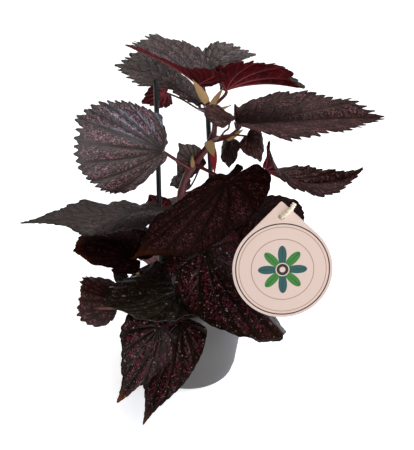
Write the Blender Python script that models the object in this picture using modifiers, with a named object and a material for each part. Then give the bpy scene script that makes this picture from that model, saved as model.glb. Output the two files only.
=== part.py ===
"""A cane begonia with dark, lopsided leaves, growing in its grey nursery pot.

Metres, +Z up. The pot stands on z = 0 with its middle at the origin, and the side
that is mostly seen faces -Y. Places on the plant are given in millimetres.
"""
import math

import bmesh
import bpy
import numpy as np
from mathutils import Matrix, Vector

MM = 0.001
GAP = 0.3 * MM
MERGE = 0.01 * MM
CREASE_ANGLE = math.radians(40)

# The pot: a plain tapered cup with a rounded heel, a plain band at the top and drain holes.
POT_HEIGHT = 92 * MM
POT_BASE_RADIUS = 43.5 * MM
POT_TAPER = math.radians(8.9)
POT_HEEL = 8 * MM
POT_WALL = 1.5 * MM
POT_FLOOR = 2 * MM
POT_BAND_HEIGHT = 8 * MM
POT_BAND_STEP = 1.2 * MM
POT_SIDES = 32
HEEL_STEPS = 5
ROUND_SIDES = 12
DRAIN_HOLES = 6
DRAIN_RADIUS = 4 * MM
DRAIN_CIRCLE = 26 * MM

SOIL_TOP = 83 * MM
SOIL_DOME = 2 * MM
SOIL_ROUGHNESS = 0.8 * MM
SOIL_RINGS = 5
HOLE_PLAY = 0.5 * MM

STAKE_RADIUS = 2.2 * MM
STAKE_FOOT = 14 * MM
STAKES = {
    "stake_left": ((-24.8, -5), (-24.8, -5), 291),
    "stake_right": ((26.8, 20), (18.5, 20), 258),
}

BLADE_THICKNESS = 0.8 * MM
BLADE_CURL = -25
BLADE_WAVE = 0.02
BLADE_WAVES = 7
BLADE_RINGS = 2
TOOTH_DEPTH = 0.05
NOTCH = 8
LARGE_LEAF_POINTS = 44
MIDDLE_LEAF_POINTS = 32
SMALL_LEAF_POINTS = 24
LARGE_LEAF = 85 * MM
SMALL_LEAF = 45 * MM

PETIOLE_RADIUS = 1.4 * MM
SMALL_PETIOLE_RADIUS = 0.8 * MM
PETIOLE_FLARE = 1.2
PETIOLE_BEND = 0.4
PETIOLE_STRAIGHT_END = 6 * MM
PETIOLE_STEPS = 7
SHORT_PETIOLE = 30 * MM
SHORT_PETIOLE_STEPS = 5
CURVE_STEPS = 3

# The hang tag: a drop of card, with its point up, leaning back on the leaves.
TAG_MIDDLE = (76, -118, 171.5)
TAG_LEAN = math.radians(12)
TAG_TURN = math.radians(2)
TAG_RADIUS = 38.5 * MM
TAG_POINT = 53 * MM
TAG_POINT_ROUNDING = 1.5 * MM
TAG_POINT_STEPS = 6
TAG_DISC_STEPS = 44
TAG_HOLE_STEPS = 16
TAG_THICKNESS = 0.8 * MM
TAG_HOLE_HEIGHT = 41.5 * MM
TAG_HOLE_RADIUS = 2.5 * MM
TIE_RADIUS = 1.7 * MM

# Half outlines of a leaf: the distance from the stem's end for a direction in degrees,
# 0 towards the tip and 180 into the notch, as a share of the midrib's length.
LONG_OUTLINE = ((0, 1.0), (3, 0.90), (7, 0.80), (14, 0.70), (26, 0.615), (42, 0.56), (62, 0.51),
                (90, 0.455), (118, 0.43), (142, 0.41), (160, 0.36), (172, 0.25), (180, 0.12))
ROUND_OUTLINE = ((0, 1.0), (3, 0.965), (7, 0.935), (14, 0.915), (26, 0.90), (42, 0.875), (62, 0.83),
                 (90, 0.74), (118, 0.64), (142, 0.53), (160, 0.41), (172, 0.26), (180, 0.12))

# Colour in sRGB, roughness.
MATERIALS = {
    "pot_plastic": ("#75787c", 0.55),
    "potting_soil": ("#2b1d14", 0.95),
    "stake": ("#0b1416", 0.5),
    "leaf_dark": ("#2a1517", 0.5),
    "leaf_red": ("#5c0a14", 0.5),
    "stem": ("#6a1420", 0.5),
    "stipule": ("#b08a50", 0.7),
    "bract": ("#9c2030", 0.6),
    "tag_card": ("#e3c9bd", 0.8),
    "tie": ("#efe3c8", 0.9),
}


def leaf(name, base, tip, roll=0, arch=-30, fold=(5, 5), width=(0.85, 0.85), lobes=(0.5, 0.5),
         roundness=0.5, twist=0, taper=(0, 0), curl=BLADE_CURL, material="leaf_dark"):
    """One leaf blade: base and tip are the midrib's ends in mm, angles are in degrees, and each
    pair is (left, right) seen from the stem's end with the upper side up."""
    return dict(name=name, base=np.array(base) * MM, tip=np.array(tip) * MM, roll=math.radians(roll),
                arch=math.radians(arch), fold=fold, width=width, lobes=lobes, roundness=roundness,
                twist=math.radians(twist), taper=taper, curl=curl, material=material)


LEAVES = (
    leaf("leaf_crown_near", (9, 12, 282), (-53, -1, 319), roll=-35, arch=-35, fold=(92, 10),
         width=(0.62, 0.95), lobes=(0.25, 0.3), roundness=1.0, twist=25, taper=(0.93, 0)),
    leaf("leaf_crown_left", (11, 33, 260.5), (-68, 40, 291.8), roll=10, fold=(15, 15),
         width=(0.55, 0.85), lobes=(0.15, 0.15), roundness=1.15, twist=-30),
    leaf("leaf_crown_left_back", (-19, 42, 267), (-43, 40, 257), roll=70, arch=-20, fold=(5, 5),
         width=(0.9, 0.9), lobes=(0.3, 0.3), roundness=0.6, twist=-5, material="leaf_red"),
    leaf("leaf_crown_back", (19, 45, 289), (66, 60, 297), roll=50, arch=-50, fold=(-15, 0),
         width=(1.1, 0.3), lobes=(0.15, 0.15), roundness=0.2, twist=20),
    leaf("leaf_crown_right", (35, 8, 278), (103, -9, 282), roll=-15, arch=-40, fold=(55, 60),
         width=(0.35, 0.5), lobes=(0.2, 0.05), roundness=1.0, twist=10, material="leaf_red"),
    leaf("leaf_upper_left", (-18, -50, 244), (-83, -86, 284), roll=-80, fold=(-25, -25),
         width=(0.85, 0.5), lobes=(0.3, 0.15), roundness=1.15, curl=-15),
    leaf("leaf_upper_right", (46, -20, 255), (171, -20, 263), roll=5, arch=-5, fold=(15, 30),
         width=(0.5, 0.7), lobes=(0.1, 0.1), roundness=0.75, twist=25),
    leaf("leaf_middle_right", (71, 12, 203), (157, -9, 216), roll=-30, arch=70, fold=(28, 36),
         width=(0.4, 0.9), lobes=(0.1, 0.1), roundness=0.4, twist=100),
    leaf("leaf_middle_left", (-46, -30, 180), (-141, -54, 182), roll=5, arch=5, fold=(15, 5),
         width=(1.0, 1.0), lobes=(1.0, 0.75), roundness=0, twist=-20),
    leaf("leaf_inner_left", (-51, -30, 136), (-99, -45, 150), roll=-20, arch=-10, fold=(5, 10),
         width=(0.45, 1.15), lobes=(0.45, 1.2), roundness=1.15, twist=15),
    leaf("leaf_inner_right", (66, 25, 155), (105, -9, 142), roll=20, arch=-15, fold=(10, 0),
         width=(1.0, 1.15), roundness=0.8, twist=10, lobes=(0.5, 0.6)),
    leaf("leaf_lower_left", (-68, -30, 95), (-95, -47, 116), roll=-50, arch=30, fold=(-25, -10),
         width=(1.05, 0.85), lobes=(0.45, 0.4), roundness=1.1, twist=10),
    leaf("leaf_front_upper", (34, -50, 216), (-41, -116, 178), roll=-5, arch=-5, fold=(0, -10),
         width=(0.55, 0.3), lobes=(0.75, 0.6), roundness=0.75, twist=-25),
    leaf("leaf_front_middle", (16, -62, 159), (78, -124, 110), roll=5, arch=15, fold=(-10, -20),
         width=(0.95, 0.5), lobes=(0.45, 0.55), roundness=1.15, twist=-25),
    leaf("leaf_front_lower", (1, -60, 123), (-74, -108, 131), arch=35, fold=(5, 14),
         width=(0.65, 1.0), lobes=(0.35, 0.35), roundness=0.5, twist=5),
    leaf("leaf_hanging_left", (-22, -95, 105), (-56, -135, 57), roll=-70, fold=(-5, 0),
         width=(0.95, 0.9), lobes=(0.15, 0.15), roundness=0.05, twist=-5),
    leaf("leaf_hanging_right", (-5, -67, 93), (-38, -107, 12), roll=-40, arch=-35, fold=(0, 0),
         width=(0.5, 0.45), lobes=(0.15, 0.15), roundness=0.3, twist=15),
    leaf("leaf_young_fork", (36, -50, 269), (15, -43, 278), arch=-10, fold=(15, 10),
         width=(0.95, 1.05), lobes=(0.2, 0.2), roundness=1.1, twist=-10),
    leaf("leaf_young_right", (51, -40, 253), (62, -41, 230), roll=20, arch=-40, fold=(20, 5),
         width=(1.05, 1.0), lobes=(0.2, 0.2), roundness=0.5),
    leaf("leaf_young_under", (39, 5, 232), (38, -1, 210), roll=50, fold=(15, 10),
         width=(0.9, 1.0), lobes=(0.4, 0.4), roundness=0.85, twist=-5),
    leaf("leaf_young_left", (7, 11, 211), (-8, 10, 231), roll=-65, arch=10, fold=(0, 5),
         width=(1.05, 0.95), lobes=(0.1, 0.1), roundness=0.4, material="leaf_red"),
    leaf("leaf_young_inner", (9, 32, 212), (-10, 28, 184), roll=-20, fold=(0, 5),
         width=(0.7, 0.9), lobes=(0.15, 0.15), roundness=0.65),
    leaf("leaf_young_inner_left", (-2, 36, 186), (-18, 32, 180), roll=-20, fold=(-5, 5),
         width=(1.0, 1.0), lobes=(0.4, 0.4), roundness=0.65),
    leaf("leaf_young_low", (-26, 16, 163), (-35, 7, 182), roll=55, arch=-25, fold=(5, 0),
         width=(1.0, 1.0), lobes=(0.2, 0.2), roundness=0.45, material="leaf_red"),
    leaf("leaf_young_side", (-56, -20, 110), (-70, -21, 120), roll=-10, fold=(-5, 5),
         width=(1.0, 1.0), lobes=(0.3, 0.3), roundness=0.75),
    leaf("leaf_back_high", (12, 42, 164), (30, 130, 126), roll=-10, roundness=0.35),
    leaf("leaf_back_left", (-20, 38, 148), (-60, 108, 116), roll=10, fold=(10, 5), roundness=0.3),
    leaf("leaf_back_right", (52, 54, 130), (108, 98, 104), roll=5, fold=(5, 10), roundness=0.5),
    leaf("leaf_back_side", (-42, 36, 118), (-94, 66, 102), roll=-10, arch=-25, fold=(10, 10),
         roundness=0.6),
    leaf("leaf_back_middle", (2, 52, 124), (4, 134, 82), roll=5, fold=(10, 10), roundness=0.3),
    leaf("leaf_back_low_right", (46, 50, 110), (70, 100, 56), roll=-20, arch=-25, roundness=0.3),
    leaf("leaf_back_low_left", (-24, 60, 100), (-40, 104, 46), roll=20, arch=-25, roundness=0.3),
)


def petiole(leaf_name, start, via=(), lean=45):
    """A leaf's stalk: it leaves the cane at height start (mm), may pass through the via points
    (mm) and meets the blade's underside leaning back by lean degrees."""
    return dict(leaf=leaf_name, start=start * MM, via=[np.array(point) * MM for point in via],
                lean=math.radians(lean))


# Each cane: the points of its axis (mm), its radius at those points (mm), and its petioles.
CANES = {
    "cane_main": dict(
        axis=((-2, 0, 40), (-3, 0, 100), (-5, 0, 150), (-5.4, 0, 185), (3.4, 0, 209), (21, 0, 234),
              (24.5, 0, 252), (19, 4, 268)),
        radii=(3.2, 3.2, 3.2, 3.1, 3.3, 2.9, 2.2, 2.6),
        petioles=(
            petiole("leaf_crown_near", 265, via=((15, 0, 272),)),
            petiole("leaf_crown_left", 262, via=((12, 14, 260),)),
            petiole("leaf_crown_left_back", 258, via=((11, 24, 256.5), (-4, 37, 262))),
            petiole("leaf_crown_back", 267),
            petiole("leaf_crown_right", 264, via=((27, 10, 267),)),
            petiole("leaf_upper_left", 209, via=((-14, -20, 229),)),
            petiole("leaf_upper_right", 235),
            petiole("leaf_middle_right", 184),
            petiole("leaf_front_upper", 214),
            petiole("leaf_young_fork", 236, via=((28, -24, 246), (32, -44, 258)), lean=20),
            petiole("leaf_young_right", 236),
            petiole("leaf_young_under", 240),
            petiole("leaf_young_left", 205),
            petiole("leaf_young_inner", 188, via=((3, 17, 186), (12, 36, 199))),
            petiole("leaf_young_inner_left", 180, via=((-6, 16, 174),)),
        )),
    "cane_left": dict(
        axis=((-14, -17, 40), (-13.5, -17, 90), (-12, -18, 130), (-12, -17, 160)),
        radii=(2.6, 2.6, 2.4, 2.0),
        petioles=(
            petiole("leaf_middle_left", 157),
            petiole("leaf_inner_left", 94, via=((-28, -18, 100), (-42, -21, 117))),
            petiole("leaf_lower_left", 96, via=((-36, -18, 103), (-56, -19, 99), (-65, -21, 90))),
            petiole("leaf_young_low", 138),
            petiole("leaf_young_side", 98),
        )),
    "cane_front": dict(
        axis=((0, -23, 40), (0, -23, 90), (2, -27, 112), (4, -32, 134)),
        radii=(2.6, 2.6, 2.4, 2.0),
        petioles=(
            petiole("leaf_front_middle", 132),
            petiole("leaf_front_lower", 108),
            petiole("leaf_hanging_left", 96, via=((-8, -50, 103), (-20, -78, 106))),
            petiole("leaf_hanging_right", 94, via=((3, -46, 101), (0, -58, 100.5)), lean=70),
        )),
    "cane_back": dict(
        axis=((12, 27, 40), (12, 27, 90), (13, 29, 112), (12, 31, 138)),
        radii=(2.8, 2.8, 2.6, 2.2),
        petioles=(
            petiole("leaf_inner_right", 130, via=((30, 32, 142), (50, 34, 149))),
            petiole("leaf_back_high", 136),
            petiole("leaf_back_left", 118),
            petiole("leaf_back_right", 122, via=((24, 36, 133), (40, 45, 135))),
            petiole("leaf_back_side", 104),
            petiole("leaf_back_middle", 100),
            petiole("leaf_back_low_right", 96),
            petiole("leaf_back_low_left", 94),
        )),
}

# Stipules and a bract: base and tip (mm), width (mm), material.
SCALES = {
    "stipule_crown_left": ((18, -2.6, 270.3), (6, -2.6, 290.3), 8, "stipule"),
    "stipule_crown_right": ((21.4, -0.6, 266.5), (31.5, -11, 285.5), 5, "stipule"),
    "stipule_crown_small": ((25.2, 1.8, 261.6), (39, 0, 267.5), 3, "stipule"),
    "stipule_fork_left": ((19, -7.5, 238), (24, -8.5, 224), 9, "stipule"),
    "stipule_fork_right": ((35, -10.5, 239.8), (49.5, -13, 250.5), 5, "stipule"),
    "stipule_node": ((5.5, -4.2, 212.6), (5, -4.7, 223.6), 4, "stipule"),
    "stipule_low": ((-38, -17, 109), (-50, -20, 118), 4, "stipule"),
    "bract_hanging": ((22.5, -3.9, 231), (25, -3.4, 206), 7, "bract"),
}
SCALE_THICKNESS = 0.8 * MM
SCALE_HOLLOW = 0.25
SCALE_BLUNTNESS = 0.12
SCALE_FULLNESS = 0.7

# The tie's loop. The first points are (right, up, out) from the tag's middle, on the tag's own
# face, and the others are places on the plant, all in mm.
TIE_ON_TAG = ((0, 41.3, 0), (2.2, 43.5, 2.9), (6, 47, 3.1), (9.5, 50, 0), (8.5, 48.5, -4.6))
TIE_ON_PLANT = ((82, -100, 205), (78, -86, 176), (73, -64, 146), (69, -38, 130), (65.5, -14, 121),
                (60, 4, 124), (54, 16, 133), (51, 26.5, 143), (50.3, 29.2, 149.6), (50, 34, 153.8),
                (50, 38.8, 149.4), (51, 35, 143.6), (55, 19, 128), (62, 2, 118.5), (68.5, -16, 115.5),
                (72, -38, 125), (75, -64, 142), (77, -88, 178))
TIE_BEHIND_TAG = ((0, 39.5, -5.5),)


def srgb_to_linear(code):
    """Turn a #rrggbb colour into linear RGBA."""
    channels = [int(code[i:i + 2], 16) / 255 for i in (1, 3, 5)]
    linear = [c / 12.92 if c <= 0.04045 else ((c + 0.055) / 1.055) ** 2.4 for c in channels]
    return (*linear, 1.0)


def make_material(name):
    """A Principled material of one colour."""
    material = bpy.data.materials.get(name)
    if material:
        return material
    colour, roughness = MATERIALS[name]
    material = bpy.data.materials.new(name)
    material.use_nodes = True
    shader = material.node_tree.nodes["Principled BSDF"]
    shader.inputs["Base Color"].default_value = srgb_to_linear(colour)
    shader.inputs["Roughness"].default_value = roughness
    shader.inputs["Metallic"].default_value = 0.0
    return material


def add_object(name, data, collection, material=None):
    """Put mesh or curve data in the scene as an object."""
    obj = bpy.data.objects.new(name, data)
    collection.objects.link(obj)
    if material:
        data.materials.append(make_material(material))
    return obj


def as_mesh(obj, collection):
    """Replace an object by the mesh that its modifiers or its curve make, with ends welded."""
    name = obj.name
    evaluated = obj.evaluated_get(bpy.context.evaluated_depsgraph_get())
    mesh = bpy.data.meshes.new_from_object(evaluated)
    result = bpy.data.objects.new(name + "_mesh", mesh)
    result.matrix_world = obj.matrix_world
    collection.objects.link(result)
    bpy.data.objects.remove(obj)
    result.name = name
    work = bmesh.new()
    work.from_mesh(mesh)
    bmesh.ops.remove_doubles(work, verts=work.verts, dist=MERGE)
    bmesh.ops.recalc_face_normals(work, faces=work.faces)
    work.to_mesh(mesh)
    work.free()
    return result


def shade(obj):
    """Smooth shading with sharp creases kept."""
    obj.data.shade_smooth()
    obj.data.set_sharp_from_angle(angle=CREASE_ANGLE)


def smooth_value(x, points):
    """Read a smooth curve through points (x, value) at x, without overshoot."""
    xs = np.array([point[0] for point in points], float)
    ys = np.array([point[1] for point in points], float)
    slopes = np.diff(ys) / np.diff(xs)
    before, after = slopes[:-1], slopes[1:]
    inner = np.where(before * after > 0, 2 * before * after / (before + after + 1e-12), 0)
    tangents = np.concatenate([slopes[:1], inner, slopes[-1:]])
    i = np.clip(np.searchsorted(xs, x) - 1, 0, len(xs) - 2)
    step = xs[i + 1] - xs[i]
    t = (x - xs[i]) / step
    start = ys[i] * (2 * t ** 3 - 3 * t ** 2 + 1) + tangents[i] * step * (t ** 3 - 2 * t ** 2 + t)
    end = ys[i + 1] * (3 * t ** 2 - 2 * t ** 3) + tangents[i + 1] * step * (t ** 3 - t ** 2)
    return start + end


def smooth_route(points, steps, closed=False):
    """Points of a smooth line through the given ones, with steps between each two."""
    points = [np.array(point, float) for point in points]
    count = len(points)
    spans = count if closed else count - 1
    route = []
    for i in range(spans):
        if closed:
            p0, p1, p2, p3 = (points[(i + k) % count] for k in (-1, 0, 1, 2))
        else:
            p1, p2 = points[i], points[i + 1]
            p0 = points[i - 1] if i > 0 else 2 * p1 - p2
            p3 = points[i + 2] if i + 2 < count else 2 * p2 - p1
        for k in range(steps):
            t = k / steps
            route.append(0.5 * (2 * p1 + (p2 - p0) * t + (2 * p0 - 5 * p1 + 4 * p2 - p3) * t ** 2
                                + (3 * p1 - p0 - 3 * p2 + p3) * t ** 3))
    if not closed:
        route.append(points[-1])
    return route


def flat_outline(blade, angles):
    """The flat leaf's edge in the direction of each angle (degrees, left positive), as shares of
    the midrib's length, with +X to the tip."""
    size = np.abs(angles)
    share = blade["roundness"]
    reach = (1 - share) * smooth_value(size, LONG_OUTLINE) + share * smooth_value(size, ROUND_OUTLINE)
    turn = np.radians(angles)
    left = angles > 0
    width = np.where(left, blade["width"][0], blade["width"][1])
    lobe = np.where(left, blade["lobes"][0], blade["lobes"][1])
    forward = np.clip((np.cos(turn) + 0.05) / 0.5, 0, 1)
    forward = forward ** 2 * (3 - 2 * forward)
    width = width * (1 - forward * np.where(left, blade["taper"][0], blade["taper"][1]))
    x = reach * np.cos(turn) * np.where(np.cos(turn) < 0, lobe, 1)
    return x, reach * np.sin(turn) * width


def edge_angles(blade, count):
    """Directions at even steps along the edge, from the notch round the tip to the notch."""
    halves = []
    for low, high in ((NOTCH - 180, 0), (0, 180 - NOTCH)):
        fine = np.linspace(low, high, 400)
        x, y = flat_outline(blade, fine)
        walked = np.concatenate([[0], np.cumsum(np.hypot(np.diff(x), np.diff(y)))])
        halves.append(np.interp(np.linspace(0, walked[-1], count // 2 + 1), walked, fine))
    return np.concatenate([halves[0], halves[1][1:]])


def midrib(blade):
    """Length along the midrib, its x and z and its slope, for a midrib of length 1."""
    along = np.linspace(-0.8, 1.05, 400)
    slope = blade["arch"] * along
    step = along[1] - along[0]

    def total(values):
        walked = np.concatenate([[0], np.cumsum((values[1:] + values[:-1]) / 2 * step)])
        return walked - np.interp(0, along, walked)

    return along, total(np.cos(slope)), total(np.sin(slope)), slope


def chord(blade):
    """Length and slope of the straight line between the ends of a midrib of length 1."""
    along, x, z, _ = midrib(blade)
    end_x, end_z = np.interp(1, along, x), np.interp(1, along, z)
    return math.hypot(end_x, end_z), math.atan2(end_z, end_x)


def blade_shape(blade, x, y, share, angles):
    """Bend points of the flat leaf to the real one, for a midrib of length 1. share is how far
    out a point lies, from 0 at the stem's end to 1 at the edge."""
    along, rib_x, rib_z, slope = midrib(blade)
    slope = np.interp(x, along, slope)
    left = y > 0
    fold = np.where(left, blade["fold"][0], blade["fold"][1])
    rise = np.radians(fold + blade["curl"] * np.abs(y))
    out = np.abs(y) * np.cos(rise) * np.where(left, 1, -1)
    up = np.abs(y) * np.sin(rise)
    up += BLADE_WAVE * share ** 2 * np.sin(np.radians(BLADE_WAVES * angles))
    turn = blade["twist"] * np.clip(x, -0.5, 1)
    side = out * np.cos(turn) - up * np.sin(turn)
    up = out * np.sin(turn) + up * np.cos(turn)
    px = np.interp(x, along, rib_x) - up * np.sin(slope)
    pz = np.interp(x, along, rib_z) + up * np.cos(slope)
    return np.stack([px, side, pz], axis=-1)


def blade_axes(blade):
    """Length of the midrib and the unit axes of the blade at its base: along, left and up."""
    reach, incline = chord(blade)
    straight = blade["tip"] - blade["base"]
    distance = np.linalg.norm(straight)
    ahead = straight / distance
    heading = math.atan2(ahead[1], ahead[0])
    level = np.array([-math.sin(heading), math.cos(heading), 0])
    left = level * math.cos(blade["roll"]) + np.cross(ahead, level) * math.sin(blade["roll"])
    up = np.cross(ahead, left)
    along = ahead * math.cos(incline) - up * math.sin(incline)
    up = ahead * math.sin(incline) + up * math.cos(incline)
    return distance / reach, along, left, up


def axes_matrix(along, left, up, place):
    """A matrix with the given axes as its columns and the given place."""
    matrix = Matrix.Identity(4)
    for column, axis in enumerate((along, left, up, place)):
        for row in range(3):
            matrix[row][column] = axis[row]
    return matrix


def thin_sheet(name, mesh, thickness, collection, material):
    """Give an open sheet its thickness, half on each side."""
    obj = add_object(name, mesh, collection, material)
    solid = obj.modifiers.new("Thickness", "SOLIDIFY")
    solid.thickness = thickness
    solid.offset = 0
    solid.use_even_offset = False
    return obj


def make_leaf(blade, collection):
    """One blade: a grid of rings round the stem's end, bent to shape, with teeth at its edge."""
    length, along, left, up = blade_axes(blade)
    count = SMALL_LEAF_POINTS
    if length > SMALL_LEAF:
        count = LARGE_LEAF_POINTS if length > LARGE_LEAF else MIDDLE_LEAF_POINTS
    angles = edge_angles(blade, count)
    edge_x, edge_y = flat_outline(blade, angles)
    tooth = np.where((np.arange(count + 1) - count // 2) % 2 == 0, 1, 1 - TOOTH_DEPTH)
    work = bmesh.new()
    bmesh.ops.create_grid(work, x_segments=count, y_segments=BLADE_RINGS, size=0.5)
    for vert in work.verts:
        i = round((vert.co.x + 0.5) * count)
        share = vert.co.y + 0.5
        cut = tooth[i] if share > 0.99 else 1
        flat_x, flat_y = edge_x[i] * share * cut, edge_y[i] * share * cut
        point = blade_shape(blade, flat_x, flat_y, share, angles[i])
        vert.co = Vector(point * length)
    bmesh.ops.remove_doubles(work, verts=work.verts, dist=MERGE)
    bmesh.ops.triangulate(work, faces=work.faces)
    mesh = bpy.data.meshes.new(blade["name"])
    work.to_mesh(mesh)
    work.free()
    obj = thin_sheet(blade["name"], mesh, BLADE_THICKNESS, collection, blade["material"])
    obj.matrix_world = axes_matrix(along, left, up, blade["base"])
    shade(obj)
    return obj


def make_scale(name, base, tip, width, material, collection):
    """A stipule or bract: a hollow pointed scale, widest at a third of its length."""
    base, tip = np.array(base) * MM, np.array(tip) * MM
    length = np.linalg.norm(tip - base)
    ahead = (tip - base) / length
    left = np.cross(ahead, (0, -1, 0))
    left /= np.linalg.norm(left)
    work = bmesh.new()
    bmesh.ops.create_grid(work, x_segments=6, y_segments=2, size=0.5)
    for vert in work.verts:
        share = vert.co.x + 0.5
        blunt = SCALE_BLUNTNESS + (1 - SCALE_BLUNTNESS) * share
        half = width * MM * math.sin(math.pi * blunt ** SCALE_FULLNESS)
        side = vert.co.y * half
        vert.co = Vector((share * length, side, SCALE_HOLLOW * side ** 2 / (width * MM)))
    bmesh.ops.remove_doubles(work, verts=work.verts, dist=MERGE)
    bmesh.ops.triangulate(work, faces=work.faces)
    mesh = bpy.data.meshes.new(name)
    work.to_mesh(mesh)
    work.free()
    obj = thin_sheet(name, mesh, SCALE_THICKNESS, collection, material)
    obj.matrix_world = axes_matrix(ahead, left, np.cross(ahead, left), base)
    shade(obj)
    return obj


def make_tube(name, route, radii, resolution, collection, material, closed=False):
    """A tube along a route, with a radius for each of its points, as a mesh."""
    curve = bpy.data.curves.new(name, "CURVE")
    curve.dimensions = "3D"
    curve.bevel_depth = MM
    curve.bevel_resolution = resolution
    curve.use_fill_caps = not closed
    spline = curve.splines.new("POLY")
    spline.points.add(len(route) - 1)
    spline.use_cyclic_u = closed
    for point, place, radius in zip(spline.points, route, radii):
        point.co = (*place, 1)
        point.radius = radius / MM
    return as_mesh(add_object(name, curve, collection, material), collection)


def join_union(name, pieces, collection):
    """One closed body from overlapping ones."""
    first, others = pieces[0], pieces[1:]
    group = bpy.data.collections.new(name + "_pieces")
    bpy.context.scene.collection.children.link(group)
    for piece in others:
        collection.objects.unlink(piece)
        group.objects.link(piece)
    union = first.modifiers.new("Union", "BOOLEAN")
    union.operation = "UNION"
    union.operand_type = "COLLECTION"
    union.collection = group
    result = as_mesh(first, collection)
    for piece in list(group.objects):
        bpy.data.objects.remove(piece)
    bpy.data.collections.remove(group)
    result.name = name
    return result


def point_on_cane(route, height):
    """Where a cane's axis is at a height."""
    heights = [point[2] for point in route]
    return np.array([np.interp(height, heights, [point[axis] for point in route]) for axis in range(3)])


def petiole_route(stalk, blade, start):
    """Points of a stalk from the cane's axis to just under its blade."""
    length, along, _, up = blade_axes(blade)
    radius = PETIOLE_RADIUS if length > SMALL_LEAF else SMALL_PETIOLE_RADIUS
    lean = stalk["lean"]
    droop = math.radians(max(0, -min(blade["fold"])))
    drop = BLADE_THICKNESS / 2 + GAP + radius * (math.sin(lean) + math.tan(droop))
    away = -(up * math.cos(lean) + along * math.sin(lean))
    end = blade["base"] - up * drop
    span = np.linalg.norm(end - start)
    if stalk["via"]:
        last = end + away * min(PETIOLE_STRAIGHT_END, 0.2 * span)
        route = smooth_route([start, *stalk["via"], last, end], CURVE_STEPS)
    else:
        inner = end + away * PETIOLE_BEND * span
        outer = start + (inner - start) * PETIOLE_BEND
        route = []
        steps = PETIOLE_STEPS if span > SHORT_PETIOLE else SHORT_PETIOLE_STEPS
        for k in range(steps + 1):
            t = k / steps
            route.append((1 - t) ** 3 * start + 3 * (1 - t) ** 2 * t * outer
                         + 3 * (1 - t) * t ** 2 * inner + t ** 3 * end)
    return route, radius


def make_cane(name, cane, blades, collection):
    """A cane with its nodes' petioles, joined into one body."""
    axis = [np.array(point) * MM for point in cane["axis"]]
    route = smooth_route(axis, CURVE_STEPS)
    radii = np.interp(np.linspace(0, 1, len(route)), np.linspace(0, 1, len(axis)), cane["radii"]) * MM
    pieces = [make_tube(name, route, radii, 2, collection, "stem")]
    for stalk in cane["petioles"]:
        start = point_on_cane(route, stalk["start"])
        path, radius = petiole_route(stalk, blades[stalk["leaf"]], start)
        widths = np.linspace(PETIOLE_FLARE * radius, radius, len(path))
        pieces.append(make_tube("petiole", path, widths, 1, collection, "stem"))
    obj = join_union(name, pieces, collection)
    shade(obj)
    return obj


def turned(name, profile, collection, material):
    """A turned solid from a profile (radius, height), its outer side listed downwards."""
    mesh = bpy.data.meshes.new(name)
    edges = [(i, i + 1) for i in range(len(profile) - 1)]
    mesh.from_pydata([(radius, 0, height) for radius, height in profile], edges, [])
    obj = add_object(name, mesh, collection, material)
    screw = obj.modifiers.new("Turn", "SCREW")
    screw.steps = POT_SIDES
    screw.render_steps = POT_SIDES
    screw.use_merge_vertices = True
    screw.merge_threshold = MERGE
    return as_mesh(obj, collection)


def cut_by(obj, cutters, collection):
    """Take the cutters' shapes out of an object."""
    for cutter in cutters:
        cut = obj.modifiers.new("Cut", "BOOLEAN")
        cut.operation = "DIFFERENCE"
        cut.object = cutter
    result = as_mesh(obj, collection)
    for cutter in cutters:
        bpy.data.objects.remove(cutter)
    return result


def add_cylinder(name, radius, foot, top, collection, material=None):
    """A cylinder between two points."""
    foot, top = Vector(foot), Vector(top)
    mesh = bpy.data.meshes.new(name)
    work = bmesh.new()
    bmesh.ops.create_cone(work, cap_ends=True, segments=ROUND_SIDES, radius1=radius, radius2=radius,
                          depth=(top - foot).length)
    work.to_mesh(mesh)
    work.free()
    obj = add_object(name, mesh, collection, material)
    obj.matrix_world = (Matrix.Translation((foot + top) / 2)
                        @ (top - foot).to_track_quat("Z", "Y").to_matrix().to_4x4())
    return obj


def pot_outer_radius(height):
    """The tapered wall's outer radius at a height."""
    return POT_BASE_RADIUS + height * math.tan(POT_TAPER)


def make_pot(collection, cutters):
    """The pot, with its rounded heel, its band and the drain holes in its floor."""
    heel = []
    for k in range(HEEL_STEPS + 1):
        turn = (math.pi / 2 - POT_TAPER) * (1 - k / HEEL_STEPS)
        heel.append((POT_BASE_RADIUS - POT_HEEL + POT_HEEL * math.sin(turn),
                     POT_HEEL * (1 - math.cos(turn))))
    band_foot = POT_HEIGHT - POT_BAND_HEIGHT
    rim = pot_outer_radius(POT_HEIGHT) + POT_BAND_STEP
    inner_foot = POT_BASE_RADIUS - POT_HEEL
    profile = [
        (0, POT_FLOOR),
        (inner_foot, POT_FLOOR),
        (pot_outer_radius(POT_HEEL) - POT_WALL, POT_HEEL),
        (pot_outer_radius(POT_HEIGHT) - POT_WALL, POT_HEIGHT),
        (rim, POT_HEIGHT),
        (pot_outer_radius(band_foot) + POT_BAND_STEP, band_foot),
        (pot_outer_radius(band_foot - POT_BAND_STEP), band_foot - POT_BAND_STEP),
        *heel,
        (0, 0),
    ]
    pot = turned("pot", profile, collection, "pot_plastic")
    drains = []
    for k in range(DRAIN_HOLES):
        turn = 2 * math.pi * k / DRAIN_HOLES
        x, y = DRAIN_CIRCLE * math.cos(turn), DRAIN_CIRCLE * math.sin(turn)
        drains.append(add_cylinder("drain", DRAIN_RADIUS, (x, y, -POT_FLOOR), (x, y, 2 * POT_FLOOR),
                                   cutters))
    pot = cut_by(pot, drains, collection)
    shade(pot)
    return pot


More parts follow.
